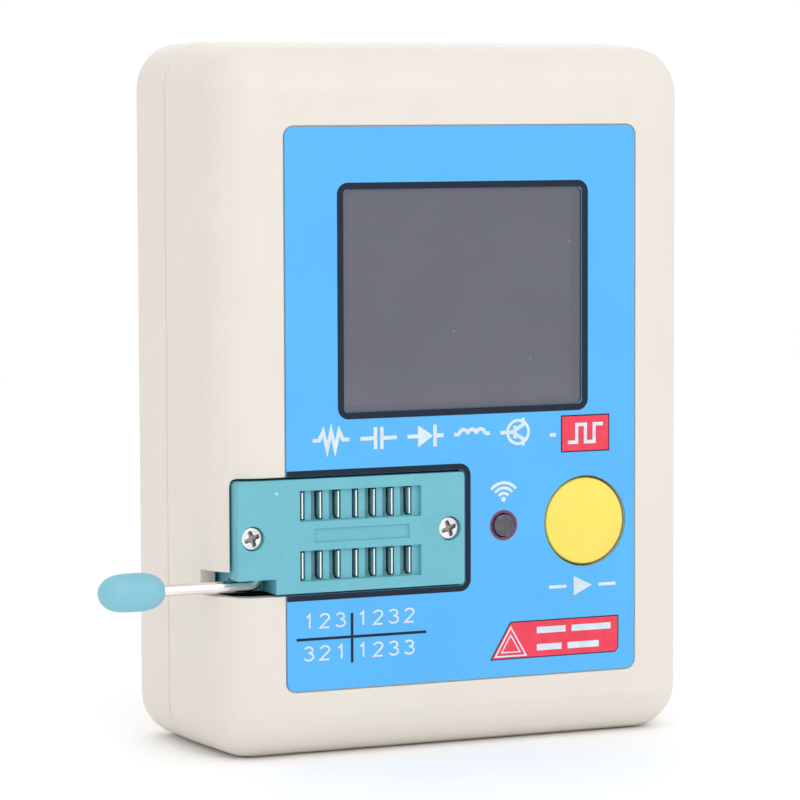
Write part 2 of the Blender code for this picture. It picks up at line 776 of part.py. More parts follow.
def main_board():
    """The board: its corners cut away round the case's bosses, and holes for screws and contact tails."""
    side = RIGHT - WALL - draft_at(PCB_DEPTH) - PCB_MARGIN
    board = plate(
        "main_pcb",
        (-side, at(PCB_DEPTH), WALL + PCB_MARGIN),
        (side, at(PCB_BACK), CASE_HEIGHT - WALL - draft_at(PCB_DEPTH) - PCB_MARGIN),
        CORNER_RADIUS - WALL,
        GREEN,
    )
    notches = cylinders(
        "board_notches", CASE_SCREWS, CASE_BOSS_RADIUS + GAP, PCB_DEPTH - PAST, PCB_BACK + PAST, SCREW_SIDES
    )
    reach = CASE_SCREW_INSET + CASE_BOSS_RADIUS
    corner_cuts = boxes(
        "board_corners",
        [
            (
                (min(x, side_x), at(PCB_DEPTH - PAST), min(z, edge_z)),
                (max(x, side_x), at(PCB_BACK + PAST), max(z, edge_z)),
            )
            for x, side_x in ((LEFT + reach, LEFT), (RIGHT - reach, RIGHT))
            for z, edge_z in ((CASE_SCREW_INSET, 0), (CASE_HEIGHT - CASE_SCREW_INSET, CASE_HEIGHT))
        ],
    )
    screw_holes = cylinders(
        "board_holes", PCB_SCREWS, PCB_SCREW_RADIUS + SLIP, PCB_DEPTH - PAST, PCB_BACK + PAST, SCREW_SIDES
    )
    cut(board, notches, corner_cuts, screw_holes)
    half = TAIL_WIDTH / 2 + SLIP
    tails = boxes(
        "tail_holes",
        [
            ((x - half, at(PCB_DEPTH - PAST), z - half), (x + half, at(PCB_BACK + PAST), z + half))
            for x, z, _ in contact_places()
        ],
    )
    cut(board, tails)


def contact_places():
    """(x, z, name) of each contact, the upper row first, numbered from the lever's end."""
    for row, side in (("upper", 1), ("lower", -1)):
        for number in range(CONTACTS_PER_ROW):
            x = CONTACT_START + number * CONTACT_PITCH
            yield x, ROW_HEIGHT + side * ROW_SPACING / 2, f"contact_{row}_{number + 1}"


def contacts():
    """Flat leaf contacts, each a blade in the socket with a tail through the board."""
    half = CONTACT_BLADE / 2
    tail = TAIL_WIDTH / 2
    top = at(CONTACT_TOP)
    shoulder = at(BASE_BACK - 2 * GAP)
    end = at(PCB_BACK + TAIL_BELOW_BOARD)
    outline = [
        (top, -half + tail),
        (top, half - tail),
        (top + tail, half),
        (shoulder, half),
        (shoulder, tail),
        (end, tail),
        (end, -tail),
        (shoulder, -tail),
        (shoulder, -half),
        (top + tail, -half),
    ]
    for x, z, name in contact_places():
        curve = bpy.data.curves.new(name, "CURVE")
        curve.dimensions = "2D"
        curve.fill_mode = "BOTH"
        curve.extrude = CONTACT_THICKNESS / 2
        spline = curve.splines.new("POLY")
        spline.points.add(len(outline) - 1)
        for target, (across, up) in zip(spline.points, outline):
            target.co = (across, up, 0, 1)
        spline.use_cyclic_u = True
        made = add_object(name, curve, GOLD, (x, 0, z))
        made.rotation_euler = (math.pi / 2, 0, math.pi / 2)


def socket_base():
    """The fixed tub: a slider pocket, a cell for each contact, a channel for the cam shaft, screw pilots."""
    low = (SOCKET_LEFT + GAP, at(BASE_DEPTH), SOCKET_BOTTOM)
    high = (SOCKET_RIGHT - GAP, at(BASE_BACK), SOCKET_TOP)
    base = boxes("socket_base", [(low, high)], TEAL, PARTS)
    across = CONTACT_BLADE / 2 + SLIP
    thick = CONTACT_THICKNESS / 2 + SLIP
    tail = TAIL_WIDTH / 2 + SLIP
    cells = boxes(
        "contact_cells",
        [
            ((x - thick, at(BASE_DEPTH - PAST), z - across), (x + thick, at(BASE_BACK - GAP), z + across))
            for x, z, _ in contact_places()
        ],
    )
    tails = boxes(
        "base_tail_holes",
        [
            ((x - tail, at(BASE_BACK - 2 * GAP), z - tail), (x + tail, at(BASE_BACK + PAST), z + tail))
            for x, z, _ in contact_places()
        ],
    )
    run = LEVER_RADIUS + RUN
    shaft = boxes(
        "shaft_channel",
        [
            (
                (SOCKET_LEFT - PAST, at(BASE_DEPTH - PAST), SOCKET_BOTTOM - PAST),
                (STEP_RIGHT, at(LEVER_DEPTH + run), STEP_TOP),
            )
        ],
    )
    bore = boxes(
        "shaft_bore",
        [
            (
                (PIVOT_X - run, at(BASE_DEPTH - PAST), SOCKET_BOTTOM - PAST),
                (PIVOT_X + run, at(LEVER_DEPTH + run + CHIP_CORNER), SHAFT_END + RUN),
            )
        ],
    )
    plate_pocket = boxes(
        "plate_pocket",
        [
            (
                (SLIDER_LEFT - SLIDER_TRAVEL - RUN, at(BASE_DEPTH - PAST), SLIDER_BOTTOM - RUN),
                (SLIDER_RIGHT + RUN, at(SLIDER_BACK + RUN), SLIDER_TOP + RUN),
            )
        ],
    )
    swing = CRANK_LENGTH / 2 + CRANK_JOG + RUN
    arm_pocket = boxes(
        "arm_pocket",
        [
            (
                (PIVOT_X - run - LUG_THICKNESS - SLIDER_TRAVEL - RUN, at(BASE_DEPTH - PAST), CRANK_Z - swing),
                (SLIDER_LEFT, at(SLIDER_BACK + RUN - TINY), CRANK_Z + swing),
            )
        ],
    )
    screws = cylinders(
        "socket_pilots",
        SOCKET_SCREWS,
        SOCKET_SCREW_RADIUS + SLIP / 2,
        BASE_DEPTH - PAST,
        BASE_BACK - GAP,
        SCREW_SIDES,
    )
    cut(base, cells, tails, shaft, bore, plate_pocket, arm_pocket, screws)


SOCKET_SCREWS = [
    (SOCKET_LEFT + SOCKET_SCREW_INSET, ROW_HEIGHT),
    (SOCKET_RIGHT - SOCKET_SCREW_INSET, ROW_HEIGHT),
]


def socket_slider():
    """The comb that slides behind the cover: a slot for each contact, two lugs that straddle the crank."""
    slider = boxes(
        "socket_slider",
        [((SLIDER_LEFT, at(SLIDER_FRONT), SLIDER_BOTTOM), (SLIDER_RIGHT, at(SLIDER_BACK), SLIDER_TOP))],
        TEAL,
        PARTS,
    )
    across = CONTACT_BLADE / 2 + SLIP
    thick = CONTACT_THICKNESS / 2 + SLIP
    slots = boxes(
        "slider_slots",
        [
            (
                (x - thick, at(SLIDER_FRONT - PAST), z - across),
                (x + thick + SLIDER_TRAVEL, at(SLIDER_BACK + PAST), z + across),
            )
            for x, z, _ in contact_places()
        ],
    )
    near = LEVER_RADIUS + RUN
    far = near + LUG_THICKNESS
    low = CRANK_Z - CRANK_LENGTH / 2
    high = CRANK_Z + CRANK_LENGTH / 2
    arm = boxes(
        "slider_arm",
        [
            (
                (PIVOT_X - far, at(SLIDER_FRONT + TINY), low),
                (SLIDER_LEFT + LUG_THICKNESS / 2, at(SLIDER_BACK - TINY), high),
            )
        ],
    )
    lugs = boxes(
        "slider_lugs",
        [
            (
                (PIVOT_X + first, at(BASE_DEPTH), low + TINY),
                (PIVOT_X + second, at(SLIDER_BACK - SLIDER_THICKNESS / 2), high - TINY),
            )
            for first, second in ((TINY - far, -near), (near, far))
        ],
    )
    cut(slider, slots)
    join(slider, arm, lugs)
    attach(slider, joint_empty("slider_axis", (PIVOT_X, at(SLIDER_FRONT), ROW_HEIGHT)))


def socket_cover():
    """The fixed cover, with a slot beside each contact and a round recess for each screw's head."""
    cover = plate(
        "socket_cover",
        (SOCKET_LEFT, at(-SOCKET_PROUD), SOCKET_BOTTOM),
        (SOCKET_RIGHT, at(COVER_BACK), SOCKET_TOP),
        COVER_CORNER,
        TEAL,
        segments=3,
    )
    step = boxes(
        "cover_step",
        [
            (
                (SOCKET_LEFT - PAST, at(-PAST), SOCKET_BOTTOM - PAST),
                (STEP_RIGHT, at(COVER_BACK + PAST), STEP_TOP),
            )
        ],
    )
    rows = boxes(
        "row_recesses",
        [
            (
                (CONTACT_START - ROW_RECESS_LEFT, at(-PAST), z - ROW_RECESS_HEIGHT / 2),
                (CONTACT_END + ROW_RECESS_RIGHT, at(ROW_RECESS - SOCKET_PROUD), z + ROW_RECESS_HEIGHT / 2),
            )
            for z in (ROW_HEIGHT - ROW_SPACING / 2, ROW_HEIGHT + ROW_SPACING / 2)
        ],
    )
    across = CONTACT_BLADE / 2 + SLIP
    thick = CONTACT_THICKNESS / 2 + SLIP
    slots = boxes(
        "cover_slots",
        [
            (
                (x - (ROW_RECESS_LEFT if starts_group(x) else SLOT_LENGTH), at(-PAST), z - across),
                (x + thick, at(COVER_BACK + PAST), z + across),
            )
            for x, z, _ in contact_places()
        ],
    )
    middle = boxes(
        "middle_recess",
        [
            (
                (CONTACT_START + MIDDLE_RECESS_INSET, at(-PAST), ROW_HEIGHT - MIDDLE_RECESS_HEIGHT / 2),
                (
                    CONTACT_END - MIDDLE_RECESS_DEPTH,
                    at(MIDDLE_RECESS_DEPTH - SOCKET_PROUD),
                    ROW_HEIGHT + MIDDLE_RECESS_HEIGHT / 2,
                ),
            )
        ],
    )
    run = LEVER_RADIUS + RUN
    groove = boxes(
        "shaft_groove",
        [
            (
                (PIVOT_X - run, at(LEVER_DEPTH - run), SOCKET_BOTTOM),
                (PIVOT_X + run, at(COVER_BACK + PAST), SHAFT_END + RUN),
            )
        ],
    )
    sinks = cylinders(
        "head_recesses",
        SOCKET_SCREWS,
        SOCKET_SCREW_HEAD_RADIUS + SLIP / 2,
        -PAST,
        SOCKET_SCREW_SUNK - SOCKET_PROUD,
    )
    holes = cylinders(
        "cover_screw_holes", SOCKET_SCREWS, SOCKET_SCREW_RADIUS + SLIP, -PAST, COVER_BACK + PAST, SCREW_SIDES
    )
    cut(cover, step, rows, slots, middle, groove, sinks, holes)


def starts_group(x):
    """Whether a contact is the first of the three or of the four that each row is divided into."""
    number = round((x - CONTACT_START) / CONTACT_PITCH)
    return number in (0, CONTACTS_PER_ROW // 2)


def arc(centre, radius, start, end, count):
    """Points on an arc in the XZ plane, from one angle to another in degrees."""
    for step in range(count + 1):
        angle = math.radians(start + (end - start) * step / count)
        yield Vector((centre[0] + radius * math.cos(angle), centre[1], centre[2] + radius * math.sin(angle)))


def lever():
    """A steel rod: the handle to the left, a bend, then the cam shaft across the socket with its crank."""
    pivot = Vector((PIVOT_X, at(LEVER_DEPTH), LEVER_Z))
    tip = pivot + Vector((KNOB_LENGTH - KNOB_BORE - LEVER_REACH, 0, 0))
    shaft = Vector((PIVOT_X, pivot.y, 0))
    crank = Vector((PIVOT_X, at(CRANK_DEPTH), 0))
    low = Vector((0, 0, CRANK_Z - CRANK_LENGTH / 2))
    high = Vector((0, 0, CRANK_Z + CRANK_LENGTH / 2))
    jog = Vector((0, 0, CRANK_JOG))
    bend = (PIVOT_X - LEVER_BEND, pivot.y, LEVER_Z + LEVER_BEND)
    points = [
        tip + Vector((GAP, 0, 0)),
        *arc(bend, LEVER_BEND, -90, 0, 4),
        shaft + low - jog,
        crank + low,
        crank + high,
        shaft + high + jog,
        shaft + Vector((0, 0, SHAFT_END)),
    ]
    hinge = joint_empty("lever_axis", pivot)
    attach(tube("lever_rod", points, LEVER_RADIUS, STEEL, resolution=3), hinge)
    knob(hinge, tip)


def knob(hinge, tip):
    """The moulded grip: a long oval with a blind bore that the rod's end sits in."""
    bore = LEVER_RADIUS + SLIP
    cap = KNOB_RADIUS * KNOB_END_LENGTH
    cut_angle = math.acos((bore + GAP) / KNOB_RADIUS)
    outline = []
    for step in range(7):
        angle = math.radians(90 - 90 * step / 6)
        outline.append((KNOB_RADIUS * math.cos(angle), KNOB_LENGTH - cap + cap * math.sin(angle)))
    for step in range(6):
        angle = cut_angle * step / 5
        outline.append((KNOB_RADIUS * math.cos(angle), cap * (1 - math.sin(angle) / math.sin(cut_angle))))
    outline += [(bore, 0), (bore, KNOB_BORE), (0, KNOB_BORE)]
    turned("lever_knob", outline, TEAL, tip + Vector((KNOB_BORE, 0, 0)), (-1, 0, 0), 20, hinge)


def button():
    """The domed cap, the switch stem that it is pressed on, and the switch body on the board."""
    press = joint_empty("button_axis", (BUTTON_X, at(CAP_SUNK), ROW_HEIGHT))
    crown = (CAP_RADIUS**2 + CAP_DOME**2) / (2 * CAP_DOME)
    steepest = math.asin(CAP_RADIUS / crown)
    outline = []
    for step in range(7):
        angle = steepest * step / 6
        outline.append((crown * math.sin(angle), CAP_DOME - crown * (1 - math.cos(angle))))
    bore = STEM_RADIUS + SLIP
    stem_front = CAP_BACK - STEM_INTO_CAP
    outline += [
        (CAP_RADIUS, CAP_SUNK - WALL - GAP),
        (CAP_FLANGE_RADIUS, CAP_SUNK - WALL - GAP),
        (CAP_FLANGE_RADIUS, -CAP_LENGTH),
        (bore, -CAP_LENGTH),
        (bore, CAP_SUNK - stem_front + GAP),
        (0, CAP_SUNK - stem_front + GAP),
    ]
    turned("button_cap", outline, YELLOW, (BUTTON_X, at(CAP_SUNK), ROW_HEIGHT), (0, -1, 0), 36, press)

    flange_front = SWITCH_FRONT + BUTTON_TRAVEL
    flange_back = flange_front + STEM_FLANGE
    turned(
        "switch_stem",
        [
            (0, flange_back - stem_front),
            (STEM_RADIUS, flange_back - stem_front),
            (STEM_RADIUS, flange_back - flange_front),
            (STEM_FLANGE_RADIUS, flange_back - flange_front),
            (STEM_FLANGE_RADIUS, 0),
            (0, 0),
        ],
        BLACK,
        (BUTTON_X, at(flange_back), ROW_HEIGHT),
        (0, -1, 0),
        20,
        press,
    )
    half = SWITCH_SIZE / 2
    body = plate(
        "switch_body",
        (BUTTON_X - half, at(SWITCH_FRONT), ROW_HEIGHT - half),
        (BUTTON_X + half, at(PCB_DEPTH - GAP), ROW_HEIGHT + half),
        CHIP_CORNER,
        BLACK,
        segments=2,
    )
    well = cylinders(
        "switch_well",
        [(BUTTON_X, ROW_HEIGHT)],
        STEM_FLANGE_RADIUS + RUN,
        SWITCH_FRONT - PAST,
        flange_back + BUTTON_TRAVEL + RUN,
        20,
    )
    cut(body, well)


def infrared():
    """The window behind its hole, and the receiver on the board."""
    radius = IR_HOLE_RADIUS - SLIP
    turned(
        "ir_window",
        [(0, IR_WINDOW_THICKNESS), (radius, IR_WINDOW_THICKNESS), (radius, 0), (0, 0)],
        DARK_LENS,
        (IR_X, at(WALL), ROW_HEIGHT),
        (0, -1, 0),
        20,
    )
    near = PCB_DEPTH - GAP - IR_BODY_THICKNESS
    body = plate(
        "ir_receiver",
        (IR_X - IR_BODY_WIDTH / 2, at(near), ROW_HEIGHT - IR_BODY_HEIGHT / 2),
        (IR_X + IR_BODY_WIDTH / 2, at(PCB_DEPTH - GAP), ROW_HEIGHT + IR_BODY_HEIGHT / 2),
        DISPLAY_CORNER,
        BLACK,
        segments=2,
    )
    eye = cylinders(
        "ir_eye", [(IR_X, ROW_HEIGHT)], IR_HOLE_RADIUS, near - IR_DOME, near + IR_DOME, SCREW_SIDES
    )
    join(body, eye)


def board_parts():
    """The larger components on the back of the board."""
    component("microcontroller", MICROCONTROLLER_PLACE, MICROCONTROLLER_SIZE, BLACK)
    component("crystal", CRYSTAL_PLACE, CRYSTAL_SIZE, STEEL)
    component("inductor", INDUCTOR_PLACE, INDUCTOR_SIZE, BLACK)
    component("charger_ic", CHARGER_PLACE, CHARGER_SIZE, BLACK)
    component("voltage_regulator", REGULATOR_PLACE, REGULATOR_SIZE, BLACK)


def component(name, place, size, finish):
    """A component behind the board: place is (x, height above the display's lower edge)."""
    near = PCB_BACK + GAP
    middle = Vector((place[0], at(near + size[1] / 2), DISPLAY_LOW.z + place[1]))
    half = Vector(size) / 2
    plate(name, middle - half, middle + half, DISPLAY_CORNER, finish, segments=2)


def charging_port():
    """The charging socket on the board's right edge and the charge lamp above it, both facing +X."""
    near = PCB_BACK + GAP
    mouth = RIGHT - WALL - GAP
    half = USB_WIDTH / 2
    port = boxes(
        "micro_usb_port",
        [
            (
                (mouth - USB_LENGTH, at(near), USB_Z - half),
                (mouth, at(near + USB_THICKNESS), USB_Z + half),
            )
        ],
        STEEL,
        PARTS,
    )
    cavity = boxes(
        "usb_cavity",
        [
            (
                (mouth - USB_LENGTH + 2 * USB_WALL, at(near + USB_WALL), USB_Z - half + USB_WALL),
                (mouth + PAST, at(near + USB_THICKNESS - USB_WALL), USB_Z + half - USB_WALL),
            )
        ],
    )
    tongue_half = half - 3 * USB_WALL
    tongue = boxes(
        "usb_tongue",
        [
            (
                (mouth - USB_LENGTH + USB_WALL, at(near + 2 * USB_WALL), USB_Z - tongue_half),
                (mouth - 2 * USB_WALL, at(near + 2 * USB_WALL + USB_TONGUE), USB_Z + tongue_half),
            )
        ],
    )
    cut(port, cavity)
    join(port, tongue)
    turned(
        "charge_led",
        [
            (0, LED_LENGTH),
            (0.6 * LED_RADIUS, LED_LENGTH - 0.2 * LED_RADIUS),
            (LED_RADIUS, LED_LENGTH - LED_RADIUS),
            (LED_RADIUS, 0),
            (0, 0),
        ],
        LAMP,
        (RIGHT - LED_LENGTH, at(near + USB_THICKNESS / 2), USB_Z + LED_FROM_USB),
        (1, 0, 0),
        SCREW_SIDES,
    )


def power():
    """The pouch cell taped to the rear shell, its connector on the board, and its two leads."""
    half = BATTERY_WIDTH / 2
    front = BATTERY_BACK - BATTERY_THICKNESS
    plate(
        "battery",
        (-half, at(front), BATTERY_LOW_Z),
        (half, at(BATTERY_BACK), BATTERY_LOW_Z + BATTERY_HEIGHT),
        BATTERY_CORNER,
        SILVER,
    )
    plate(
        "battery_tape",
        (-half / 2, at(BATTERY_BACK + GAP), BATTERY_LOW_Z + half / 2),
        (half / 2, at(BATTERY_BACK + GAP + BATTERY_TAPE), BATTERY_LOW_Z + BATTERY_HEIGHT - half / 2),
        DISPLAY_CORNER,
        FOAM,
        segments=2,
    )
    near = PCB_BACK + GAP
    plate(
        "battery_connector",
        (-CONNECTOR_WIDTH / 2, at(near), CONNECTOR_Z - CONNECTOR_HEIGHT / 2),
        (CONNECTOR_WIDTH / 2, at(near + CONNECTOR_DEPTH), CONNECTOR_Z + CONNECTOR_HEIGHT / 2),
        DISPLAY_CORNER,
        WHITE,
        segments=2,
    )
    start_y = at((front + BATTERY_BACK) / 2)
    end_y = at(near + CONNECTOR_DEPTH + GAP)
    for name, side, finish in (("battery_lead_red", 1, RED), ("battery_lead_black", -1, BLACK)):
        x = side * LEAD_SPACING / 2
        start = Vector((x, start_y, BATTERY_LOW_Z - GAP))
        end = Vector((x, end_y, CONNECTOR_Z))
        drop = Vector((0, 0, CONNECTOR_Z - BATTERY_LOW_Z))
        rise = Vector((0, (start_y - end_y) * LEAD_BOW, 0))
        shares = [step / LEAD_STEPS for step in range(LEAD_STEPS + 1)]
        points = [cubic(start, start + drop, end + rise, end, share) for share in shares]
        tube(name, points, LEAD_RADIUS, finish)


def cubic(first, second, third, fourth, t):
    """A point on a cubic Bezier curve."""
    s = 1 - t
    return first * s**3 + second * (3 * s * s * t) + third * (3 * s * t * t) + fourth * t**3


def screw(name, x, z, bearing, direction, shank, length, head_radius, head):
    """A pan-head screw whose head bears at this depth; direction is +1 when its head faces the back."""
    outline = [
        (0, head),
        (HEAD_FLAT * head_radius, HEAD_FLAT_HEIGHT * head),
        (head_radius, HEAD_RIM_HEIGHT * head),
        (head_radius, 0),
        (shank, 0),
        (shank, shank - length),
        (0, -length),
    ]
    turned(name, outline, STEEL, (x, at(bearing), z), (0, direction, 0), SCREW_SIDES)


def screws():
    for number, (x, z) in enumerate(CASE_SCREWS, 1):
        bearing = CASE_DEPTH - CASE_SCREW_SUNK + GAP
        screw(
            f"case_screw_{number}",
            x,
            z,
            bearing,
            1,
            CASE_SCREW_RADIUS,
            CASE_SCREW_LENGTH,
            CASE_SCREW_HEAD_RADIUS,
            CASE_SCREW_HEAD,
        )
    for number, (x, z) in enumerate(PCB_SCREWS, 1):
        screw(
            f"pcb_screw_{number}",
            x,
            z,
            PCB_BACK + GAP,
            1,
            PCB_SCREW_RADIUS,
            PCB_SCREW_LENGTH,
            PCB_SCREW_HEAD_RADIUS,
            PCB_SCREW_HEAD,
        )
    for side, (x, z) in zip(("left", "right"), SOCKET_SCREWS):
        screw(
            f"socket_screw_{side}",
            x,
            z,
            SOCKET_SCREW_SUNK - SOCKET_PROUD - SLIP,
            -1,
            SOCKET_SCREW_RADIUS,
            SOCKET_SCREW_LENGTH,
            SOCKET_SCREW_HEAD_RADIUS,
            SOCKET_SCREW_HEAD,
        )


def shade_round_pieces():
    for piece in PARTS.objects:
        if piece.type == "MESH":
            piece.data.shade_smooth()
            piece.data.set_sharp_from_angle(angle=math.radians(40))


front_shell()
rear_shell()
front_label()
display()
main_board()
contacts()
socket_base()
socket_slider()
socket_cover()
lever()
button()
infrared()
board_parts()
charging_port()
power()
screws()
shade_round_pieces()
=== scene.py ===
"""Looks for the component tester: moulded cream case, printed blue label, display, test socket and lever."""

import itertools
import math

import bmesh
import bpy
import numpy as np
from mathutils import Matrix, Vector


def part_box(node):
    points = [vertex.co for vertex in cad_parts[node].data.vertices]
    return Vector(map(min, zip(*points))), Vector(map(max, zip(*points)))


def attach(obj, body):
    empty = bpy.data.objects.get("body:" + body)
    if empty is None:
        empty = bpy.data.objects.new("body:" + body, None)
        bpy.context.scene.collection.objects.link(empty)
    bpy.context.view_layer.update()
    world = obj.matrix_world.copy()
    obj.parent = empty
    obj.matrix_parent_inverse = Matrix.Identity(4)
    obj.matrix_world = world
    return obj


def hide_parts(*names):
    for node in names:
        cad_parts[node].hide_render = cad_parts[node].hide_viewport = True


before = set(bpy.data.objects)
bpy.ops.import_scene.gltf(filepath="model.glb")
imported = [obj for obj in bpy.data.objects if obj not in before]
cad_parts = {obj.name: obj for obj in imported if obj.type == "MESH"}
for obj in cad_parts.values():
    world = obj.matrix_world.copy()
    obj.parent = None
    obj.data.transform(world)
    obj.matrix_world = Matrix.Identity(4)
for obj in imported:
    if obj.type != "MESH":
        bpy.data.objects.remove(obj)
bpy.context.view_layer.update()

MM = 0.001

# Added in turn to the thickness of printed lines, so that two drawn one after the other are not level
INK_STEPS = itertools.cycle([step * 0.003 * MM for step in range(8)])


def corner_pair(node):
    """Lowest and highest corner of a CAD node, as arrays in metres."""
    low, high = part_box(node)
    return np.array(low), np.array(high)


CASE_LOW, CASE_HIGH = corner_pair("front_shell")
LABEL_LOW, _ = corner_pair("front_label")
WINDOW_LOW, WINDOW_HIGH = corner_pair("display_window")
COVER_LOW, COVER_HIGH = corner_pair("socket_cover")
CAP_LOW, CAP_HIGH = corner_pair("button_cap")
EYE_LOW, EYE_HIGH = corner_pair("ir_window")
KNOB_LOW, KNOB_HIGH = corner_pair("lever_knob")
FRONT = CASE_LOW[1]
LABEL_FACE = LABEL_LOW[1]


# Camera, floor and light


CAMERA_TURN = (-24.728, 4.444, -0.198)  # degrees: yaw, rise and roll
CAMERA_DISTANCE = 0.4937
CAMERA_LENS = 170.46
CAMERA_AIM_X = -0.00886
CAMERA_AIM_BELOW_MIDDLE = 0.000145


def add_camera():
    """A long lens to the object's left, higher than its middle, aimed near the middle of its front."""
    yaw, rise, roll = (math.radians(angle) for angle in CAMERA_TURN)
    target = Vector((CAMERA_AIM_X, FRONT, 0.5 * CASE_HIGH[2] - CAMERA_AIM_BELOW_MIDDLE))
    back = Vector((math.sin(yaw) * math.cos(rise), -math.cos(yaw) * math.cos(rise), math.sin(rise)))
    right = (-back).cross(Vector((0, 0, 1))).normalized()
    up = right.cross(-back)
    turned_right = right * math.cos(roll) + up * math.sin(roll)
    turned_up = up * math.cos(roll) - right * math.sin(roll)
    camera = bpy.data.cameras.new("camera")
    camera.lens = CAMERA_LENS
    camera.sensor_width = 36.0
    camera.clip_start = 0.01
    camera.clip_end = 20.0
    made = bpy.data.objects.new("camera", camera)
    made.matrix_world = Matrix.Translation(target + back * CAMERA_DISTANCE) @ Matrix(
        (turned_right, turned_up, back)
    ).transposed().to_4x4()
    bpy.context.scene.collection.objects.link(made)
    bpy.context.scene.camera = made


def add_light(name, place, size, watts):
    """A square softbox aimed at the middle of the object."""
    lamp = bpy.data.lights.new(name, "AREA")
    lamp.shape = "SQUARE"
    lamp.size = size
    lamp.energy = watts
    made = bpy.data.objects.new(name, lamp)
    made.location = place
    aim = Vector((0, 0, 0.5 * CASE_HIGH[2])) - Vector(place)
    made.rotation_mode = "QUATERNION"
    made.rotation_quaternion = aim.to_track_quat("-Z", "Y")
    bpy.context.scene.collection.objects.link(made)


def add_studio():
    """White surroundings and three soft lights."""
    world = bpy.data.worlds.new("studio")
    world.use_nodes = True
    backdrop = world.node_tree.nodes["Background"]
    backdrop.inputs["Color"].default_value = (1.0, 1.0, 1.0, 1.0)
    backdrop.inputs["Strength"].default_value = 1.0
    bpy.context.scene.world = world
    bpy.context.scene.view_settings.view_transform = "Standard"
    add_light("key", (0.05, -0.85, 0.52), 0.50, 1.75)
    add_light("top", (-0.05, -0.10, 0.90), 0.55, 0.45)
    add_light("rear", (0.30, 0.80, 0.45), 0.60, 0.40)


# Shader maths


class Value:
    """A number on a shader graph. Its operators add Math nodes."""

    def __init__(self, finish, socket):
        self.finish = finish
        self.socket = socket

    def _math(self, operation, *values):
        return self.finish.node("ShaderNodeMath", {"operation": operation}, dict(enumerate(values)))

    def __add__(self, other):
        return self._math("ADD", self, other)

    def __radd__(self, other):
        return self._math("ADD", other, self)

    def __sub__(self, other):
        return self._math("SUBTRACT", self, other)

    def __rsub__(self, other):
        return self._math("SUBTRACT", other, self)

    def __mul__(self, other):
        return self._math("MULTIPLY", self, other)

    def __rmul__(self, other):
        return self._math("MULTIPLY", other, self)

    def __truediv__(self, other):
        return self._math("DIVIDE", self, other)

    def least(self, other):
        return self._math("MINIMUM", self, other)

    def most(self, other):
        return self._math("MAXIMUM", self, other)

    def zigzag(self, pitch):
        """Up from 0 to 1 and down again once in every pitch."""
        return self._math("PINGPONG", self, pitch / 2) / (pitch / 2)

    def step(self, low, high):
        """0 at low, 1 at high and smooth between. Low may be the larger of the two."""
        settings = {"interpolation_type": "SMOOTHSTEP"}
        return self.finish.node(
            "ShaderNodeMapRange", settings, {"Value": self, "From Min": low, "From Max": high}
        )


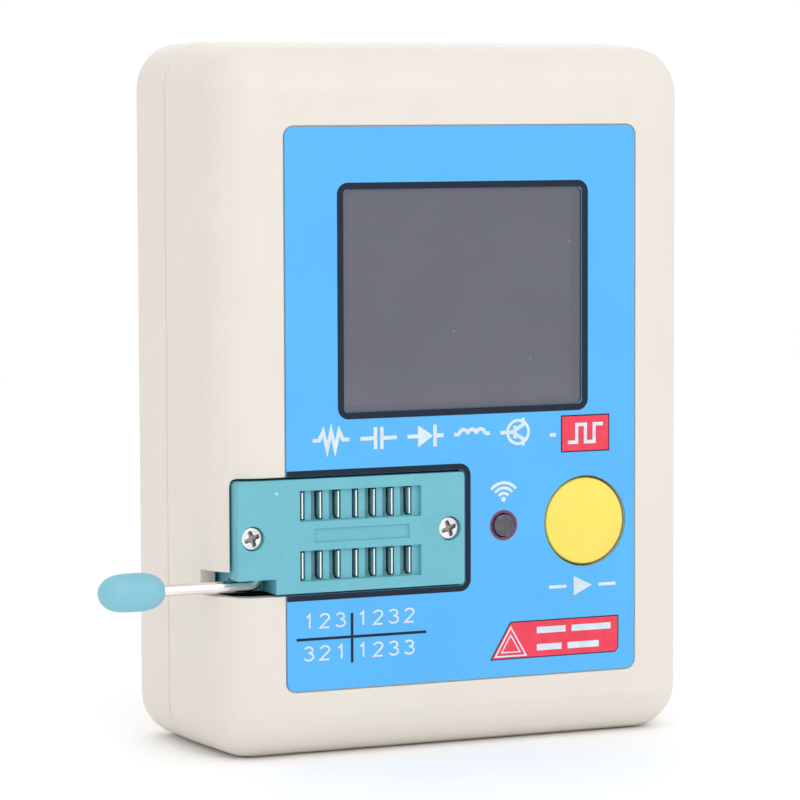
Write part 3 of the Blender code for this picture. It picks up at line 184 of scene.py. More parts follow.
class Finish:
    """One material: its Principled shader, and short ways to add the nodes that vary it."""

    def __init__(self, name, colour, roughness, metallic=0.0, **constants):
        self.material = bpy.data.materials.new(name)
        self.material.use_nodes = True
        self.tree = self.material.node_tree
        self.shader = self.tree.nodes["Principled BSDF"]
        self.colour = (*colour, 1.0)
        self.shader.inputs["Base Color"].default_value = self.colour
        self.shader.inputs["Roughness"].default_value = roughness
        self.shader.inputs["Metallic"].default_value = metallic
        for key, value in constants.items():
            self.shader.inputs[key.replace("_", " ").title().replace("Ior", "IOR")].default_value = value
        self._place = None

    def node(self, kind, settings=None, inputs=None, output=0):
        """A node of this type with its settings, then the values or links of its sockets."""
        made = self.tree.nodes.new(kind)
        for key, value in (settings or {}).items():
            setattr(made, key, value)
        for key, value in (inputs or {}).items():
            self.put(made.inputs[key], value)
        return Value(self, made.outputs[output])

    def put(self, socket, value):
        if isinstance(value, Value):
            self.tree.links.new(value.socket, socket)
        else:
            socket.default_value = value

    def place(self):
        """Object coordinates, in metres."""
        if self._place is None:
            self._place = self.node("ShaderNodeTexCoord", output=3)
        return self._place

    def axes(self):
        """X, Y and Z of the surface point as three values."""
        parts = self.node("ShaderNodeSeparateXYZ", inputs={0: self.place()}).socket.node.outputs
        return [Value(self, part) for part in parts]

    def stretched(self, scale, turn=(0, 0, 0)):
        """Object coordinates times a scale for each axis."""
        inputs = {"Vector": self.place(), "Rotation": turn, "Scale": scale}
        return self.node("ShaderNodeMapping", inputs=inputs)

    def noise(self, size, detail=3.0, roughness=0.5, vector=None):
        """Soft noise from 0 to 1 whose features are about this many metres across."""
        inputs = {"Vector": vector or self.place(), "Scale": 1 / size}
        inputs |= {"Detail": detail, "Roughness": roughness}
        return self.node("ShaderNodeTexNoise", {"noise_dimensions": "3D"}, inputs)

    def cells(self, size):
        """Distance to the nearest of the points scattered this many metres apart, in cell sizes."""
        return self.node("ShaderNodeTexVoronoi", inputs={"Vector": self.place(), "Scale": 1 / size})

    def blend(self, factor, first, second):
        """A colour that goes from first to second."""
        settings = {"data_type": "RGBA", "blend_type": "MIX"}
        inputs = {0: factor, 6: self.full(first), 7: self.full(second)}
        return self.node("ShaderNodeMix", settings, inputs, output=2)

    def full(self, colour):
        return colour if isinstance(colour, Value) else (*colour[:3], 1.0)

    def tinted(self, amount, factor):
        """The finish's colour, from darker to lighter by this share as factor goes from 0 to 1."""
        dark = [c * (1 - amount) for c in self.colour[:3]]
        light = [min(c * (1 + amount), 1.0) for c in self.colour[:3]]
        return self.blend(factor, dark, light)

    def paint(self, colour=None, roughness=None, metallic=None, bump=None, height=0.0001):
        """Links what varies over the surface. Bump is a value from 0 to 1, height its depth in metres."""
        if colour is not None:
            self.put(self.shader.inputs["Base Color"], colour)
        if roughness is not None:
            self.put(self.shader.inputs["Roughness"], roughness)
        if metallic is not None:
            self.put(self.shader.inputs["Metallic"], metallic)
        if bump is not None:
            made = self.node("ShaderNodeBump", inputs={"Strength": 1.0, "Distance": height, "Height": bump})
            self.put(self.shader.inputs["Normal"], made)


# Finishes


def moulded(name, colour, roughness, grain=0.00022, depth=0.000012, mottle=0.02, coat=0.0):
    """Moulded plastic: spark-eroded grain, faint flow clouding and slightly uneven gloss."""
    made = Finish(name, colour, roughness, coat_weight=coat, coat_roughness=0.25)
    cloud = made.noise(0.011, 4.0, 0.6)
    fine = made.noise(grain, 2.0, 0.6)
    pits = made.cells(grain * 1.7).step(0.05, 0.45)
    specks = made.noise(0.0006, 2.0, 0.7).step(0.66, 0.74)
    shade = made.tinted(mottle, (cloud * 0.7 + fine * 0.3).step(0.3, 0.7))
    dusty = made.blend(specks * 0.10, shade, [c * 0.72 for c in colour])
    gloss = roughness - 0.06 + cloud * 0.10 + fine * 0.04
    made.paint(dusty, gloss, bump=fine * 0.6 + pits * 0.4, height=depth)
    return made.material


def teal_resin(name="teal_resin", colour=(0.128, 0.430, 0.513)):
    """Glass-filled resin: fine pale fibres, small dark specks and a dry, slightly rough skin."""
    made = Finish(name, colour, 0.46, coat_weight=0.08, coat_roughness=0.3)
    cloud = made.noise(0.004, 3.0, 0.6)
    fine = made.noise(0.00013, 2.0, 0.7)
    fibres = made.noise(0.0004, 2.0, 0.6, made.stretched((1.0, 1.0, 4.0), (0.4, 0.3, 0.2))).step(0.60, 0.74)
    specks = made.cells(0.0007).step(0.10, 0.04)
    shade = made.tinted(0.05, (cloud * 0.5 + fine * 0.5).step(0.3, 0.7))
    pale = made.blend(fibres * 0.22, shade, (0.26, 0.58, 0.66))
    marked = made.blend(specks * 0.18, pale, (0.06, 0.22, 0.26))
    made.paint(marked, 0.42 + fine * 0.12, bump=fine * 0.7 + fibres * 0.3, height=0.00001)
    return made.material


def label_film():
    """Printed polyester: even sky blue with a faint print screen, an orange-peel skin and light scuffs."""
    made = Finish("label_film", (0.064, 0.402, 0.809), 0.34, coat_weight=0.25, coat_roughness=0.22)
    cloud = made.noise(0.014, 3.0, 0.5)
    peel = made.noise(0.0007, 2.0, 0.5)
    screen = made.cells(0.00016).step(0.2, 0.6)
    scuffs = made.noise(0.0009, 2.0, 0.6, made.stretched((0.25, 1.0, 2.2), (0, 0.5, 0))).step(0.68, 0.78)
    shade = made.tinted(0.045, (cloud * 0.75 + screen * 0.25).step(0.25, 0.75))
    scuffed = made.blend(scuffs * 0.07, shade, (0.36, 0.64, 0.92))
    made.paint(scuffed, 0.30 + peel * 0.08 + scuffs * 0.15, bump=peel, height=0.000012)
    return made.material


def ink(name, colour, roughness=0.38):
    """Screen-printed ink: slightly uneven cover with tiny pinholes that let the ground colour show."""
    made = Finish(name, colour, roughness, ior=1.36)
    body = made.noise(0.0012, 3.0, 0.6)
    holes = made.noise(0.00012, 2.0, 0.5).step(0.70, 0.76)
    shade = made.tinted(0.07, body.step(0.3, 0.7))
    shown = made.blend(holes * 0.30, shade, (0.20, 0.46, 0.72))
    made.paint(shown, roughness + body * 0.08, bump=body, height=0.000006)
    return made.material


def display_face():
    """The unlit display under its window: a grey field with a fine lattice, darker at the right and below."""
    coat = {"coat_weight": 0.6, "coat_roughness": 0.03, "coat_ior": 1.5}
    made = Finish("display_face", (0.086, 0.089, 0.121), 0.16, **coat)
    x, _, z = made.axes()
    rim_x = float(WINDOW_HIGH[0] - 1.9 * MM)
    rim_z = float(WINDOW_LOW[2] + 1.0 * MM)
    soft = 0.00004
    beyond = (x - rim_x).step(-soft, soft)
    below = (rim_z - z).step(-soft, soft)
    rim = beyond.most(below)
    columns = x.zigzag(0.00022)
    rows = z.zigzag(0.00022)
    lattice = columns.step(0.0, 0.35).least(rows.step(0.0, 0.35))
    cloud = made.noise(0.012, 2.0, 0.5).step(0.25, 0.75)
    dust = made.cells(0.0042).step(0.030, 0.016)
    active = made.tinted(0.045, cloud * 0.8 + lattice * 0.2)
    framed = made.blend(rim * 0.85, active, (0.075, 0.078, 0.106))
    dusty = made.blend(dust * 0.5, framed, (0.45, 0.45, 0.46))
    made.paint(dusty, 0.14 + cloud * 0.05 + dust * 0.3, bump=made.noise(0.003, 1.0, 0.4), height=0.000003)
    return made.material


def metal(name, colour, roughness, along, streak=0.0004, scratch=0.35, painted_shade_attribute=None):
    """Plated steel drawn or stamped along one axis: fine streaks, faint stains and small pits.

    Where the mesh attribute that the last argument names is 1, the colour is darkened with painted shade, as
    at the bottom of a screw's recess.
    """
    made = Finish(name, colour, roughness, 1.0)
    scale = [1.0, 1.0, 1.0]
    scale[along] = 0.06
    lines = made.noise(streak, 3.0, 0.7, made.stretched(tuple(scale)))
    stains = made.noise(0.0021, 3.0, 0.6)
    pits = made.cells(0.0005).step(0.10, 0.03)
    shade = made.tinted(0.10, (lines * 0.7 + stains * 0.3).step(0.3, 0.7))
    dull = made.blend(pits * 0.4, shade, [c * 0.45 for c in colour])
    # Painted shade: the colour darkens where the recess attribute is high, in place of the shade deep in a
    # screw's cross.
    if painted_shade_attribute:
        sunk = made.node("ShaderNodeAttribute", {"attribute_name": painted_shade_attribute}, output=2)
        dull = made.blend(sunk * (0.55 + stains * 0.5), dull, [c * 0.16 for c in colour])
    gloss = roughness * (1 - scratch) + lines * (roughness * 2 * scratch) + stains * 0.06
    made.paint(dull, gloss, bump=lines, height=0.000004)
    return made.material


def circuit_board():
    """Green solder mask over copper tracks, with tinned pads scattered over it."""
    made = Finish("circuit_board", (0.012, 0.115, 0.040), 0.32, coat_weight=0.3, coat_roughness=0.15)
    x, _, _ = made.axes()
    sway = made.noise(0.012, 1.0, 0.4) * 0.004
    tracks = (x + sway).zigzag(0.00127).step(0.42, 0.52)
    banks = made.noise(0.009, 1.0, 0.3).step(0.46, 0.54)
    vias = made.cells(0.0031).step(0.16, 0.13)
    copper = made.blend(tracks * banks, (0.010, 0.085, 0.032), (0.022, 0.200, 0.060))
    shown = made.blend(vias, copper, (0.55, 0.53, 0.48))
    made.paint(shown, 0.30 - vias * 0.05, metallic=vias * 0.9, bump=tracks * banks, height=0.00003)
    return made.material


def dark_lens():
    """Dark infrared-passing plastic, nearly black with a plum cast, moulding swirls and a glossy face."""
    made = Finish("dark_lens", (0.060, 0.058, 0.075), 0.14, coat_weight=0.5, coat_roughness=0.06)
    swirl = made.noise(0.0011, 3.0, 0.7)
    made.paint(made.tinted(0.35, swirl.step(0.3, 0.7)), 0.12 + swirl * 0.10, bump=swirl, height=0.000006)
    return made.material


def foil():
    """Crinkled aluminium pouch with a pressed edge."""
    made = Finish("pouch_foil", (0.62, 0.63, 0.65), 0.32, 1.0)
    crinkle = made.noise(0.0016, 4.0, 0.65)
    creases = made.cells(0.0035).step(0.0, 0.25)
    shade = made.tinted(0.12, crinkle.step(0.3, 0.7))
    made.paint(shade, 0.26 + crinkle * 0.18, bump=crinkle * 0.6 + creases * 0.4, height=0.00008)
    return made.material


CREAM = moulded("cream_case", (0.714, 0.662, 0.605), 0.44, mottle=0.018, coat=0.05)
YELLOW = moulded(
    "yellow_cap", (0.837, 0.684, 0.102), 0.34, grain=0.00016, depth=0.000006, mottle=0.03, coat=0.12
)
BLACK = moulded("black_resin", (0.018, 0.018, 0.019), 0.42, mottle=0.20)
WHITE = moulded("white_nylon", (0.725, 0.716, 0.679), 0.48)
FOAM = moulded("black_foam", (0.022, 0.022, 0.022), 0.85, grain=0.0004, depth=0.00012, mottle=0.3)
AMBER = moulded("amber_ribbon", (0.42, 0.16, 0.025), 0.30, grain=0.0010, mottle=0.12, coat=0.4)
RED_SLEEVE = moulded("red_sleeve", (0.50, 0.020, 0.018), 0.45, grain=0.0005, mottle=0.10)
LAMP = moulded("lamp_lens", (0.80, 0.30, 0.24), 0.22, mottle=0.08, coat=0.4)
TEAL = teal_resin()
# A lighter copy of the teal resin: a painted highlight for the small raised dot on the cover.
LIT_TEAL = teal_resin("teal_painted_highlight", (0.372, 0.651, 0.707))
# A darker copy of the teal resin: painted shade for the ledges set back in the contact slots.
SHADED_TEAL = teal_resin("teal_painted_shade", (0.084, 0.251, 0.288))
KNOB_TEAL = teal_resin("teal_knob", (0.195, 0.484, 0.595))
LABEL = label_film()
SLATE_INK = ink("slate_ink", (0.005, 0.012, 0.030), 0.6)
WHITE_INK = ink("white_ink", (0.614, 0.707, 0.781))
RED_INK = ink("red_ink", (0.781, 0.048, 0.088))
DISPLAY = display_face()
ROD_STEEL = metal("rod_steel", (0.92, 0.84, 0.80), 0.20, along=0)
SHEET_STEEL = metal("sheet_steel", (0.66, 0.66, 0.65), 0.28, along=2)
# Screw steel with painted shade in the cross recess, read from the recess attribute.
SCREW_STEEL = metal("screw_steel", (0.80, 0.79, 0.78), 0.18, along=1, streak=0.0006, painted_shade_attribute="recess")
CONTACT_METAL = metal("contact_metal", (0.97, 0.95, 0.92), 0.30, along=1, streak=0.0003)
BOARD = circuit_board()
LENS = dark_lens()
FOIL = foil()


# Surfaces


def finish_mesh(mesh, smooth_below=35.0):
    """Welds seams and poles, turns the faces outwards and shades round stretches smooth."""
    bm = bmesh.new()
    bm.from_mesh(mesh)
    bmesh.ops.remove_doubles(bm, verts=bm.verts, dist=1e-7)
    bmesh.ops.dissolve_degenerate(bm, edges=bm.edges, dist=1e-7)
    bmesh.ops.recalc_face_normals(bm, faces=bm.faces)
    bm.to_mesh(mesh)
    bm.free()
    mesh.shade_smooth()
    mesh.set_sharp_from_angle(angle=math.radians(smooth_below))


def add_piece(name, mesh, material, body, replaced=()):
    """Puts a finished mesh in the scene, on its body."""
    mesh.materials.clear()
    mesh.materials.append(material)
    made = bpy.data.objects.new(name, mesh)
    bpy.context.scene.collection.objects.link(made)
    if replaced:
        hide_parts(*replaced)
    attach(made, body)
    return made


def grid_mesh(name, points):
    """A surface through a grid of points [u, v], wrapped round in v and closed by a face at each end of u."""
    rows, columns = points.shape[:2]
    here = np.arange(rows * columns).reshape(rows, columns)
    after = np.roll(here, -1, axis=1)
    quads = np.stack([here[:-1], after[:-1], after[1:], here[1:]], axis=-1).reshape(-1, 4)
    faces = quads.tolist() + [here[0][::-1].tolist(), here[-1].tolist()]
    mesh = bpy.data.meshes.new(name)
    mesh.from_pydata(points.reshape(-1, 3).tolist(), [], faces)
    return mesh


def frame_from(axis):
    """Two directions square to an axis, and the axis."""
    axis = np.asarray(axis, float) / np.linalg.norm(axis)
    side = np.cross(axis, (0.0, 0.0, 1.0) if abs(axis[2]) < 0.9 else (1.0, 0.0, 0.0))
    side /= np.linalg.norm(side)
    return side, np.cross(axis, side), axis


def turned(name, profile, foot, axis, sides=96):
    """A profile of (radius, height) turned about an axis: foot + r(cos a, sin a) + h axis."""
    side, across, axis = frame_from(axis)
    radius, height = np.asarray(profile, float).T
    angle = np.linspace(0, 2 * np.pi, sides, endpoint=False)
    ring = np.cos(angle)[:, None] * side + np.sin(angle)[:, None] * across
    points = np.asarray(foot) + radius[:, None, None] * ring + height[:, None, None] * axis
    mesh = grid_mesh(name, points)
    finish_mesh(mesh)
    return mesh


def swept(name, path, profile, normal=(0.0, -1.0, 0.0), closed=False):
    """A flat profile carried along a path, its first axis square to the path and its second along the normal.

    At each corner the profile is widened by one over the cosine of half the turn, so its width stays true.
    """
    path = np.asarray(path, float)
    normal = np.asarray(normal, float)
    ahead = np.roll(path, -1, axis=0) - path
    behind = path - np.roll(path, 1, axis=0)
    if not closed:
        ahead[-1] = behind[-1]
        behind[0] = ahead[0]
    ahead /= np.linalg.norm(ahead, axis=1)[:, None]
    behind /= np.linalg.norm(behind, axis=1)[:, None]
    first = np.cross(ahead, normal)
    second = np.cross(behind, normal)
    side = first + second
    side /= np.linalg.norm(side, axis=1)[:, None]
    side /= (side * first).sum(axis=1)[:, None]
    across, up = np.asarray(profile, float).T
    points = path[:, None] + across[None, :, None] * side[:, None] + up[None, :, None] * normal
    if closed:
        points = np.concatenate([points, points[:1]])
    mesh = grid_mesh(name, points)
    if closed:
        drop_end_caps(mesh)
    finish_mesh(mesh)
    return mesh


def drop_end_caps(mesh):
    """Takes the two end faces off a closed sweep, whose ends meet."""
    bm = bmesh.new()
    bm.from_mesh(mesh)
    bm.faces.ensure_lookup_table()
    bmesh.ops.delete(bm, geom=[bm.faces[-1], bm.faces[-2]], context="FACES_ONLY")
    bm.to_mesh(mesh)
    bm.free()


def upright(flat, y):
    """Points (x, z) as points (x, y, z), all at this y."""
    return np.column_stack([flat[:, 0], np.full(len(flat), y), flat[:, 1]])


def prism(name, outline, low, high):
    """A flat outline of (x, z) points given thickness from y = low to y = high."""
    outline = np.asarray(outline, float)
    mesh = grid_mesh(name, np.array([upright(outline, low), upright(outline, high)]))
    finish_mesh(mesh)
    return mesh


def rounded_rectangle(low, high, radius, count=8):
    """Points (x, z) round a rectangle with quarter-circle corners."""
    (x0, z0), (x1, z1) = low, high
    left, right, foot, top = x0 + radius, x1 - radius, z0 + radius, z1 - radius
    centres = np.array([(right, top), (left, top), (left, foot), (right, foot)])
    arcs = []
    for quarter, centre in enumerate(centres):
        angle = np.linspace(0, np.pi / 2, count + 1) + quarter * np.pi / 2
        arcs.append(centre + radius * np.column_stack([np.cos(angle), np.sin(angle)]))
    return np.concatenate(arcs)


BEVEL_SEGMENTS = 2
BEVEL_ANGLE = 30.0  # degrees; edges that turn by less stay as they are
FLAT_ANGLE = 0.3  # degrees; faces that turn by less count as one flat face
FLAT_FACE_WEIGHT = 80


def softened(node, material, body, width):
    """A CAD node with its sharp edges eased: a welded copy, its flat faces split evenly, then a bevel."""
    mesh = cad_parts[node].data.copy()
    bm = bmesh.new()
    bm.from_mesh(mesh)
    bmesh.ops.remove_doubles(bm, verts=bm.verts, dist=1e-6)
    bmesh.ops.dissolve_degenerate(bm, edges=bm.edges, dist=4e-6)
    bmesh.ops.triangulate(bm, faces=bm.faces)
    limit = math.radians(FLAT_ANGLE)
    flat = [edge for edge in bm.edges if len(edge.link_faces) == 2 and edge.calc_face_angle() < limit]
    bmesh.ops.beautify_fill(bm, faces=bm.faces, edges=flat, method="ANGLE")
    bm.to_mesh(mesh)
    bm.free()
    mesh.shade_smooth()
    made = add_piece(f"{node}_eased", mesh, material, body, (node,))
    bevel = made.modifiers.new("eased_edges", "BEVEL")
    bevel.width = width
    bevel.segments = BEVEL_SEGMENTS
    bevel.limit_method = "ANGLE"
    bevel.angle_limit = math.radians(BEVEL_ANGLE)
    bevel.use_clamp_overlap = False
    bevel.miter_outer = "MITER_ARC"
    bevel.harden_normals = False
    weighted = made.modifiers.new("flat_faces_flat", "WEIGHTED_NORMAL")
    weighted.keep_sharp = True
    weighted.weight = FLAT_FACE_WEIGHT


# Pieces


def seam_bead():
    """The lip's cream edge in the seam between the two shells, just under the surface."""
    rear_low, rear_high = corner_pair("rear_shell")
    corner = 6.0 * MM
    outline = rounded_rectangle((rear_low[0], rear_low[2]), (rear_high[0], rear_high[2]), corner, 12)
    y = CASE_HIGH[1] + 0.15 * MM
    path = upright(outline, y)
    deep, shallow, half = -0.80 * MM, -0.13 * MM, 0.148 * MM
    profile = [(deep, -half), (shallow, -half), (shallow, half), (deep, half)]
    mesh = swept("seam_bead", path, profile, closed=True)
    add_piece("seam_bead", mesh, CREAM, "case")


def cover_dot():
    """The small raised dot on the cover, above the left screw, coloured with a painted highlight."""
    place = (COVER_LOW[0] + 5.4 * MM, COVER_LOW[1] + 0.02 * MM, COVER_HIGH[2] - 1.7 * MM)
    profile = dome_profile(0.24 * MM, 0.14 * MM, 0.06 * MM, 0.05 * MM)
    mesh = turned("cover_dot", profile, place, (0, -1, 0), 32)
    # The dot takes the lighter teal, a painted highlight on its dome.
    add_piece("cover_dot", mesh, LIT_TEAL, "case")


def cover_and_case():
    """The moulded and stamped CAD pieces whose sharp edges are seen."""
    softened("front_shell", CREAM, "case", 0.12 * MM)
    softened("rear_shell", CREAM, "case", 0.20 * MM)
    softened("socket_cover", TEAL, "case", 0.05 * MM)
    softened("socket_base", TEAL, "case", 0.08 * MM)
    softened("micro_usb_port", SHEET_STEEL, "case", 0.06 * MM)


def stroke(name, path, width, material, closed=False, lift=0.03):
    """A printed line on the label: a flat ribbon whose ends are square."""
    path = np.asarray(path, float)
    line = upright(path, LABEL_FACE)
    half = width / 2
    thick = lift * MM + next(INK_STEPS)
    profile = [(-half, -0.02 * MM), (half, -0.02 * MM), (half, thick), (-half, thick)]
    add_piece(name, swept(name, line, profile, closed=closed), material, "case")


def filled(name, outline, material, lift=0.03):
    """A printed patch on the label."""
    mesh = prism(name, outline, LABEL_FACE + 0.02 * MM, LABEL_FACE - lift * MM)
    add_piece(name, mesh, material, "case")


def arc_points(centre, radius, start, end, count=16):
    """Points on an arc from one angle to another in degrees."""
    angle = np.radians(np.linspace(start, end, count + 1))
    return np.column_stack([centre[0] + radius * np.cos(angle), centre[1] + radius * np.sin(angle)])


def display_border():
    """The dark printed frame round the display."""
    reveal = 0.2 * MM
    width = 0.86 * MM
    low = (WINDOW_LOW[0] + reveal - width / 2, WINDOW_LOW[2] + reveal - width / 2)
    high = (WINDOW_HIGH[0] - reveal + width / 2, WINDOW_HIGH[2] - reveal + width / 2)
    outline = rounded_rectangle(low, high, 1.1 * MM)
    stroke("display_border", outline, width, SLATE_INK, closed=True)


def socket_border():
    """The dark printed line round the socket, from the label's left edge and back to it."""
    gap = 0.32 * MM
    width = 0.74 * MM
    out = gap + width / 2
    x0, x1 = LABEL_LOW[0] + 0.02 * MM, COVER_HIGH[0] + out
    z0, z1 = COVER_LOW[2] - out, COVER_HIGH[2] + out
    round_off = 1.2 * MM
    path = np.concatenate([
        [(x0, z1)],
        arc_points((x1 - round_off, z1 - round_off), round_off, 90, 0, 8),
        arc_points((x1 - round_off, z0 + round_off), round_off, 0, -90, 8),
        [(x0, z0)],
    ])
    stroke("socket_border", path, width, SLATE_INK)


def symbol_row():
    """Five circuit symbols in white: resistor, capacitor, diode, coil, transistor, then a short dash."""
    middle = 41.5 * MM
    pen = 0.50 * MM
    left = LABEL_LOW[0] + 3.7 * MM
    pitch = 6.75 * MM
    reach = 2.6 * MM
    tall = 1.45 * MM

    def line(name, path):
        stroke(name, path, pen, WHITE_INK)

    x = left + reach
    swing = np.array([0, 1, -1, 1, -1, 1, 0]) * 0.8 * tall
    teeth = np.column_stack([np.linspace(-0.65, 0.65, len(swing)) * reach, swing])
    zigzag = np.concatenate([[(-reach, 0)], teeth, [(reach, 0)]])
    line("resistor_sign", zigzag + (x, middle))

    x += pitch
    for side in (-1, 1):
        near = side * 0.45 * MM
        line(f"capacitor_lead_{side + 1}", [(x + side * reach, middle), (x + near, middle)])
        line(f"capacitor_plate_{side + 1}", [(x + near, middle - tall), (x + near, middle + tall)])

    x += pitch
    nose = 1.1 * MM
    triangle = [(x - nose, middle - tall), (x + nose, middle), (x - nose, middle + tall)]
    filled("diode_sign", triangle, WHITE_INK)
    line("diode_bar", [(x + nose + pen / 2, middle - tall), (x + nose + pen / 2, middle + tall)])
    line("diode_lead_in", [(x - reach, middle), (x - nose, middle)])
    line("diode_lead_out", [(x + nose + pen, middle), (x + reach, middle)])

    x += pitch
    bump = 0.62 * MM
    for turn in (-1, 0, 1):
        line(f"coil_turn_{turn + 1}", arc_points((x + turn * 2 * bump, middle), bump, 180, 0, 12))
    for side in (-1, 1):
        line(f"coil_lead_{side + 1}", [(x + side * reach, middle), (x + side * 3 * bump, middle)])

    x += pitch
    ring = 1.55 * MM
    line_ring = arc_points((x, middle), ring, 0, 360, 40)[:-1]
    stroke("transistor_ring", line_ring, 0.8 * pen, WHITE_INK, closed=True)
    bar = -0.45 * MM
    line("transistor_base", [(x + bar, middle - 0.85 * MM), (x + bar, middle + 0.85 * MM)])
    line("transistor_lead", [(x - reach, middle), (x + bar, middle)])
    for side in (-1, 1):
        joint, knee, foot = (middle + side * away * MM for away in (0.25, 0.95, 1.85))
        line(f"transistor_leg_{side + 1}", [(x + bar, joint), (x + 0.75 * MM, knee), (x + 0.75 * MM, foot)])

    line("dash", [(13.0 * MM, middle - 0.6 * MM), (13.9 * MM, middle - 0.6 * MM)])


def red_badge():
    """A red box at the end of the row, with a square wave on it in white."""
    low, high = (14.7 * MM, 38.5 * MM), (21.95 * MM, 43.45 * MM)
    edge = 0.16 * MM
    filled("badge_edge", [low, (high[0], low[1]), high, (low[0], high[1])], SLATE_INK, 0.03)
    inner_low = (low[0] + edge, low[1] + edge)
    inner_high = (high[0] - edge, high[1] - edge)
    box = [inner_low, (inner_high[0], inner_low[1]), inner_high, (inner_low[0], inner_high[1])]
    filled("badge", box, RED_INK, 0.045)
    x0, z0, z1 = low[0] + 1.0 * MM, low[1] + 1.3 * MM, high[1] - 1.3 * MM
    run = (high[0] - low[0] - 2.0 * MM) / 4
    turns = [(0, z0), (1, z0), (1, z1), (2, z1), (2, z0), (3, z0), (3, z1), (4, z1)]
    wave = [(x0 + share * run, z) for share, z in turns]
    stroke("badge_wave", wave, 0.46 * MM, WHITE_INK, lift=0.06)


def beam_mark():
    """Three arcs over a dot above the infrared window."""
    x = (EYE_LOW[0] + EYE_HIGH[0]) / 2
    z = 32.5 * MM
    dot = arc_points((x, z + 0.15 * MM), 0.34 * MM, 0, 360, 20)[:-1]
    filled("beam_dot", dot, WHITE_INK)
    for number, radius in enumerate((0.95, 1.65, 2.35)):
        path = arc_points((x, z), radius * MM, 40, 140, 14)
        stroke(f"beam_arc_{number + 1}", path, 0.40 * MM, WHITE_INK)


def start_mark():
    """A play triangle between two lines below the button."""
    x, z = 17.9 * MM, 20.55 * MM
    half = 1.3 * MM
    triangle = [(x - half, z - half), (x + 1.1 * half, z), (x - half, z + half)]
    filled("start_triangle", triangle, WHITE_INK)
    for side in (-1, 1):
        path = [(x + side * 2.4 * MM, z), (x + side * 5.0 * MM, z)]
        stroke(f"start_line_{side + 1}", path, 0.42 * MM, WHITE_INK)


def digit_strokes(digit):
    """The strokes of the digit 1, 2 or 3 in a box one wide and two tall."""
    if digit == 1:
        return [[(0.25, 1.55), (0.6, 2.0), (0.6, 0.0)]]
    if digit == 2:
        bowl = arc_points((0.5, 1.5), 0.5, 170, -35, 12)
        return [np.concatenate([bowl, [(0.0, 0.0), (1.0, 0.0)]])]
    upper = arc_points((0.45, 1.52), 0.46, 155, -90, 12)
    lower = arc_points((0.47, 0.53), 0.53, 90, -155, 14)
    return [upper, lower]


def pin_chart():
    """The chart of socket pins: numbers in four quarters of a cross."""
    pen = 0.24 * MM
    tall = 0.88 * MM
    wide = 1.25 * MM
    cross_x, cross_z = -15.85 * MM, 15.7 * MM
    stroke("chart_line", [(-23.7 * MM, cross_z), (-5.2 * MM, cross_z)], 0.34 * MM, SLATE_INK)
    for part, (low, high) in {"lower": (12.3, 15.5), "upper": (15.9, 18.8)}.items():
        path = [(cross_x, low * MM), (cross_x, high * MM)]
        stroke(f"chart_post_{part}", path, 0.34 * MM, SLATE_INK)
    step = 2.25 * MM
    rows = {"upper": (17.15, "123", "1232"), "lower": (12.95, "321", "1233")}
    for row, (base, left, right) in rows.items():
        for digits, start in ((left, -22.6), (right, -15.0)):
            for place, digit in enumerate(digits):
                origin = np.array((start * MM + place * step, base * MM))
                for number, path in enumerate(digit_strokes(int(digit))):
                    scaled = origin + np.asarray(path, float) * (wide, tall)
                    name = f"chart_{row}_{len(left)}{start < -20:d}{place}_{number}"
                    stroke(name, scaled, pen, WHITE_INK)


def caution_patch():
    """A red patch with a plain double triangle and four plain bars in white, with no wording."""
    z0, z1 = 11.25 * MM, 16.25 * MM
    x0, x1 = 4.15 * MM, 23.35 * MM
    slope = 3.0 * MM
    field = [(x0, z0), (x1 - 0.5 * MM, z0), (x1, z0 + 0.6 * MM), (x1, z1), (x0 + slope, z1)]
    filled("caution_edge", field, SLATE_INK, 0.03)
    edge = 0.14 * MM
    inner = [
        (x0 + 1.7 * edge, z0 + edge),
        (x1 - 0.5 * MM - edge / 2, z0 + edge),
        (x1 - edge, z0 + 0.6 * MM + edge / 2),
        (x1 - edge, z1 - edge),
        (x0 + slope + edge / 2, z1 - edge),
    ]
    filled("caution_field", inner, RED_INK, 0.045)
    base = z0 + 0.42 * MM
    triangle = [(x0 + 0.75 * MM, base), (x0 + 5.3 * MM, base), (x0 + slope + 0.02 * MM, z1 - 0.75 * MM)]
    stroke("caution_triangle", triangle, 0.20 * MM, WHITE_INK, closed=True, lift=0.06)
    small = np.mean(triangle, axis=0) + 0.60 * (np.array(triangle) - np.mean(triangle, axis=0))
    stroke("caution_triangle_inner", small, 0.16 * MM, WHITE_INK, closed=True, lift=0.06)
    bars = ((14.9, ((6.9, 11.2), (12.1, 18.0))), (12.6, ((6.9, 10.6), (11.5, 16.2))))
    for row, (z, spans) in enumerate(bars):
        for number, (start, end) in enumerate(spans):
            path = [(x0 + start * MM, z * MM), (x0 + end * MM, z * MM)]
            stroke(f"caution_bar_{row}{number}", path, 0.85 * MM, WHITE_INK, lift=0.06)


def eye_ring():
    """The thin red-brown rim printed round the infrared window's hole, and the window's domed lens."""
    x = (EYE_LOW[0] + EYE_HIGH[0]) / 2
    z = (EYE_LOW[2] + EYE_HIGH[2]) / 2
    plum = ink("plum_ink", (0.25, 0.03, 0.06))
    circle = arc_points((x, z), 1.86 * MM, 0, 360, 60)[:-1]
    stroke("eye_ring", circle, 0.26 * MM, plum, closed=True)
    profile = dome_profile(1.48 * MM, 2.5 * MM, 0.18 * MM, 0.12 * MM)
    mesh = turned("eye_lens", profile, (x, EYE_HIGH[1], z), (0, -1, 0), 64)
    add_piece("eye_lens", mesh, LENS, "case", ("ir_window",))


